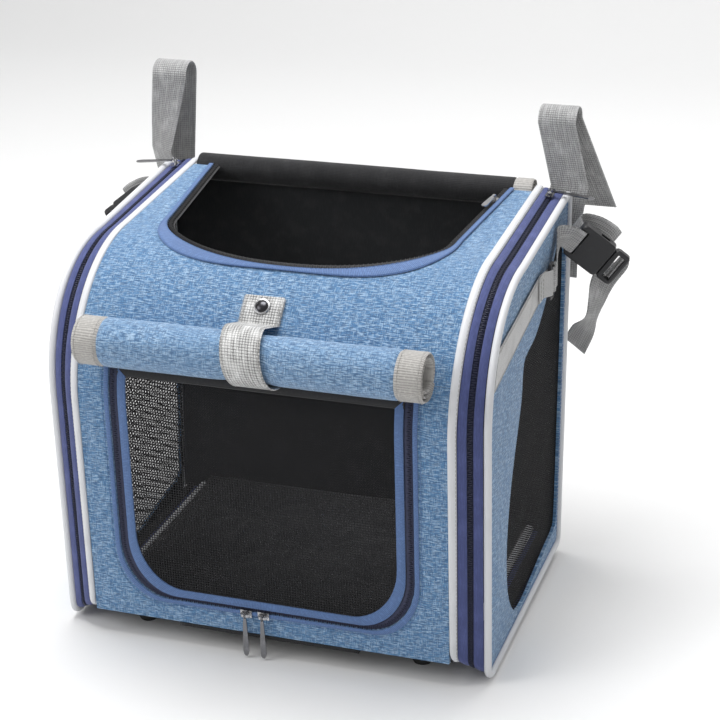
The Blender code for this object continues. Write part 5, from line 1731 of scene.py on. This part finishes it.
def make_stage():
    """Floor, lights, world and camera."""
    scene = bpy.context.scene
    floor_low = -0.0002
    reach = 6.0
    front, bend_start, bend_radius, wall_top = -3.0, 1.9, 0.9, 5.0
    places = []
    faces = []
    bend = [(front, 0.0), (bend_start, 0.0)]
    for step in range(1, 13):
        turn = math.pi / 2 * step / 12
        y = bend_start + bend_radius * math.sin(turn)
        bend.append((y, bend_radius * (1 - math.cos(turn))))
    bend.append((bend_start + bend_radius, wall_top))
    for y, z in bend:
        places += [Vector((-reach, y, z + floor_low)), Vector((reach, y, z + floor_low))]
    for step in range(len(bend) - 1):
        a = step * 2
        faces.append((a, a + 1, a + 3, a + 2))
    floor = mesh_object("floor", places, faces)
    shade = Shade("floor_card")
    x, y, z = shade.frame_place()
    grain = shade.speckle(x, y, z, 60.0, 3.0)
    tone = shade.mix(grain * 0.2, (0.86, 0.86, 0.86), (0.82, 0.82, 0.82))
    shade.surface(Base_Color=tone, Roughness=0.9)
    floor.data.materials.append(shade.material)
    world = bpy.data.worlds.new("studio")
    scene.world = world
    world.use_nodes = True
    background = world.node_tree.nodes["Background"]
    background.inputs["Color"].default_value = (1.0, 1.0, 1.0, 1.0)
    background.inputs["Strength"].default_value = 0.50
    lamps = (
        ("key", (-1.7, -1.4, 1.7), 1.5, 19.0), ("top", (-0.3, 0.1, 2.4), 1.6, 48.0),
        ("back", (0.6, 1.7, 1.8), 1.2, 8.0),
    )
    for name, place, size, power in lamps:
        lamp = bpy.data.lights.new(name, "AREA")
        lamp.shape = "DISK"
        lamp.size = size
        lamp.energy = power
        obj = linked(name, lamp)
        obj.location = place
        obj.visible_camera = False
        aim = Vector((0, 0, 0.2)) - Vector(place)
        obj.rotation_euler = aim.to_track_quat("-Z", "Y").to_euler()
    scene.view_settings.view_transform = "Standard"
    place_camera(scene)


def place_camera(scene):
    """The camera at the photographed angle.

    The focal length and the place where the aimed point falls are in pixels of the square image.
    """
    azimuth, elevation, roll = (math.radians(angle) for angle in (19.65, 23.21, -1.618))
    focal, distance, middle_x, middle_y = 1973.0, 1.930, 313.09, 384.52
    scale = 0.96
    image_width = 720
    image_middle = image_width / 2
    sensor_width = 36.0
    ahead = Vector((
        -math.sin(azimuth) * math.cos(elevation), math.cos(azimuth) * math.cos(elevation),
        -math.sin(elevation)))
    right = Vector((math.cos(azimuth), math.sin(azimuth), 0))
    above = right.cross(ahead)
    right_rolled = right * math.cos(roll) + above * math.sin(roll)
    above_rolled = above * math.cos(roll) - right * math.sin(roll)
    aim = Vector((0, 0.145, 0.200))
    place = aim - right_rolled * ((middle_x - image_middle) / focal * distance)
    place -= above_rolled * ((image_middle - middle_y) / focal * distance) + ahead * distance
    data = bpy.data.cameras.new("camera")
    data.sensor_width = sensor_width
    data.lens = focal / image_width * sensor_width
    data.clip_start = 0.01
    data.clip_end = 50.0
    camera = linked("camera", data)
    turn = Matrix((right_rolled, above_rolled, -ahead)).transposed()
    camera.matrix_world = Matrix.Translation(place * scale + basket_origin) @ turn.to_4x4()
    scene.camera = camera


# Operators


class BASKET_OT_panels(bpy.types.Operator):
    """Make the front, top, side, back and base cloth."""

    bl_idname = "basket.panels"
    bl_label = "Cloth panels"

    def execute(self, context):
        make_panels(context.scene.basket_sizes)
        return {"FINISHED"}


class BASKET_OT_gussets(bpy.types.Operator):
    """Make the gusset bands, pleats and zips."""

    bl_idname = "basket.gussets"
    bl_label = "Gussets"

    def execute(self, context):
        make_gussets(context.scene.basket_sizes)
        return {"FINISHED"}


class BASKET_OT_piping(bpy.types.Operator):
    """Make the white piping and its seams."""

    bl_idname = "basket.piping"
    bl_label = "Piping"

    def execute(self, context):
        make_piping(context.scene.basket_sizes)
        return {"FINISHED"}


class BASKET_OT_door(bpy.types.Operator):
    """Make the mesh door with its zip and binding."""

    bl_idname = "basket.door"
    bl_label = "Mesh door"

    def execute(self, context):
        make_door(context.scene.basket_sizes)
        return {"FINISHED"}


class BASKET_OT_windows(bpy.types.Operator):
    """Make the mesh windows of the side walls."""

    bl_idname = "basket.windows"
    bl_label = "Mesh windows"

    def execute(self, context):
        make_windows(context.scene.basket_sizes)
        return {"FINISHED"}


class BASKET_OT_top_opening(bpy.types.Operator):
    """Make the binding and zip of the top opening."""

    bl_idname = "basket.top_opening"
    bl_label = "Top opening"

    def execute(self, context):
        make_top_opening(context.scene.basket_sizes)
        return {"FINISHED"}


class BASKET_OT_rolls(bpy.types.Operator):
    """Make the two rolled flaps."""

    bl_idname = "basket.rolls"
    bl_label = "Rolled flaps"

    def execute(self, context):
        make_rolls(context.scene.basket_sizes)
        return {"FINISHED"}


class BASKET_OT_flap_strap(bpy.types.Operator):
    """Make the strap and snap that hold the rolled front flap."""

    bl_idname = "basket.flap_strap"
    bl_label = "Flap strap"

    def execute(self, context):
        make_flap_strap(context.scene.basket_sizes)
        return {"FINISHED"}


class BASKET_OT_side_trim(bpy.types.Operator):
    """Make the reflective strips, loops and webbing of the side walls."""

    bl_idname = "basket.side_trim"
    bl_label = "Side webbing"

    def execute(self, context):
        make_side_trim(context.scene.basket_sizes)
        return {"FINISHED"}


class BASKET_OT_buckles(bpy.types.Operator):
    """Finish the buckles, zip sliders, pulls and feet."""

    bl_idname = "basket.buckles"
    bl_label = "Hardware"

    def execute(self, context):
        finish_hardware()
        return {"FINISHED"}


class BASKET_OT_bar_straps(bpy.types.Operator):
    """Make the straps that hold the basket to its bar."""

    bl_idname = "basket.bar_straps"
    bl_label = "Bar straps"

    def execute(self, context):
        make_bar_straps(context.scene.basket_sizes)
        return {"FINISHED"}


class BASKET_OT_cushion(bpy.types.Operator):
    """Make the cushion."""

    bl_idname = "basket.cushion"
    bl_label = "Cushion"

    def execute(self, context):
        make_cushion()
        return {"FINISHED"}


class BASKET_OT_stage(bpy.types.Operator):
    """Make the floor, lights and camera."""

    bl_idname = "basket.stage"
    bl_label = "Stage"

    def execute(self, context):
        make_stage()
        return {"FINISHED"}


operators = (
    BASKET_OT_panels, BASKET_OT_gussets, BASKET_OT_piping, BASKET_OT_door, BASKET_OT_windows,
    BASKET_OT_top_opening, BASKET_OT_rolls, BASKET_OT_flap_strap, BASKET_OT_side_trim,
    BASKET_OT_buckles, BASKET_OT_bar_straps, BASKET_OT_cushion, BASKET_OT_stage,
)


class BASKET_PT_panel(bpy.types.Panel):
    """Lists the basket's operators, sizes and colours."""

    bl_idname = "BASKET_PT_panel"
    bl_label = "Pet basket"
    bl_space_type = "VIEW_3D"
    bl_region_type = "UI"
    bl_category = "Basket"

    def draw(self, context):
        for group in (context.scene.basket_sizes, context.scene.basket_colours):
            box = self.layout.box()
            for name in group.__annotations__:
                box.prop(group, name)
        for operator in operators:
            self.layout.operator(operator.bl_idname)


classes = (BasketSizes, BasketColours, *operators, BASKET_PT_panel)


def register():
    for one in classes:
        bpy.utils.register_class(one)
    bpy.types.Scene.basket_sizes = bpy.props.PointerProperty(type=BasketSizes)
    bpy.types.Scene.basket_colours = bpy.props.PointerProperty(type=BasketColours)


def unregister():
    del bpy.types.Scene.basket_colours
    del bpy.types.Scene.basket_sizes
    for one in reversed(classes):
        bpy.utils.unregister_class(one)


def main():
    register()
    bpy.ops.basket.stage()
    bpy.ops.basket.panels()
    bpy.ops.basket.gussets()
    bpy.ops.basket.piping()
    bpy.ops.basket.door()
    bpy.ops.basket.windows()
    bpy.ops.basket.top_opening()
    bpy.ops.basket.rolls()
    bpy.ops.basket.flap_strap()
    bpy.ops.basket.side_trim()
    bpy.ops.basket.buckles()
    bpy.ops.basket.bar_straps()
    bpy.ops.basket.cushion()


if __name__ == "__main__":
    main()
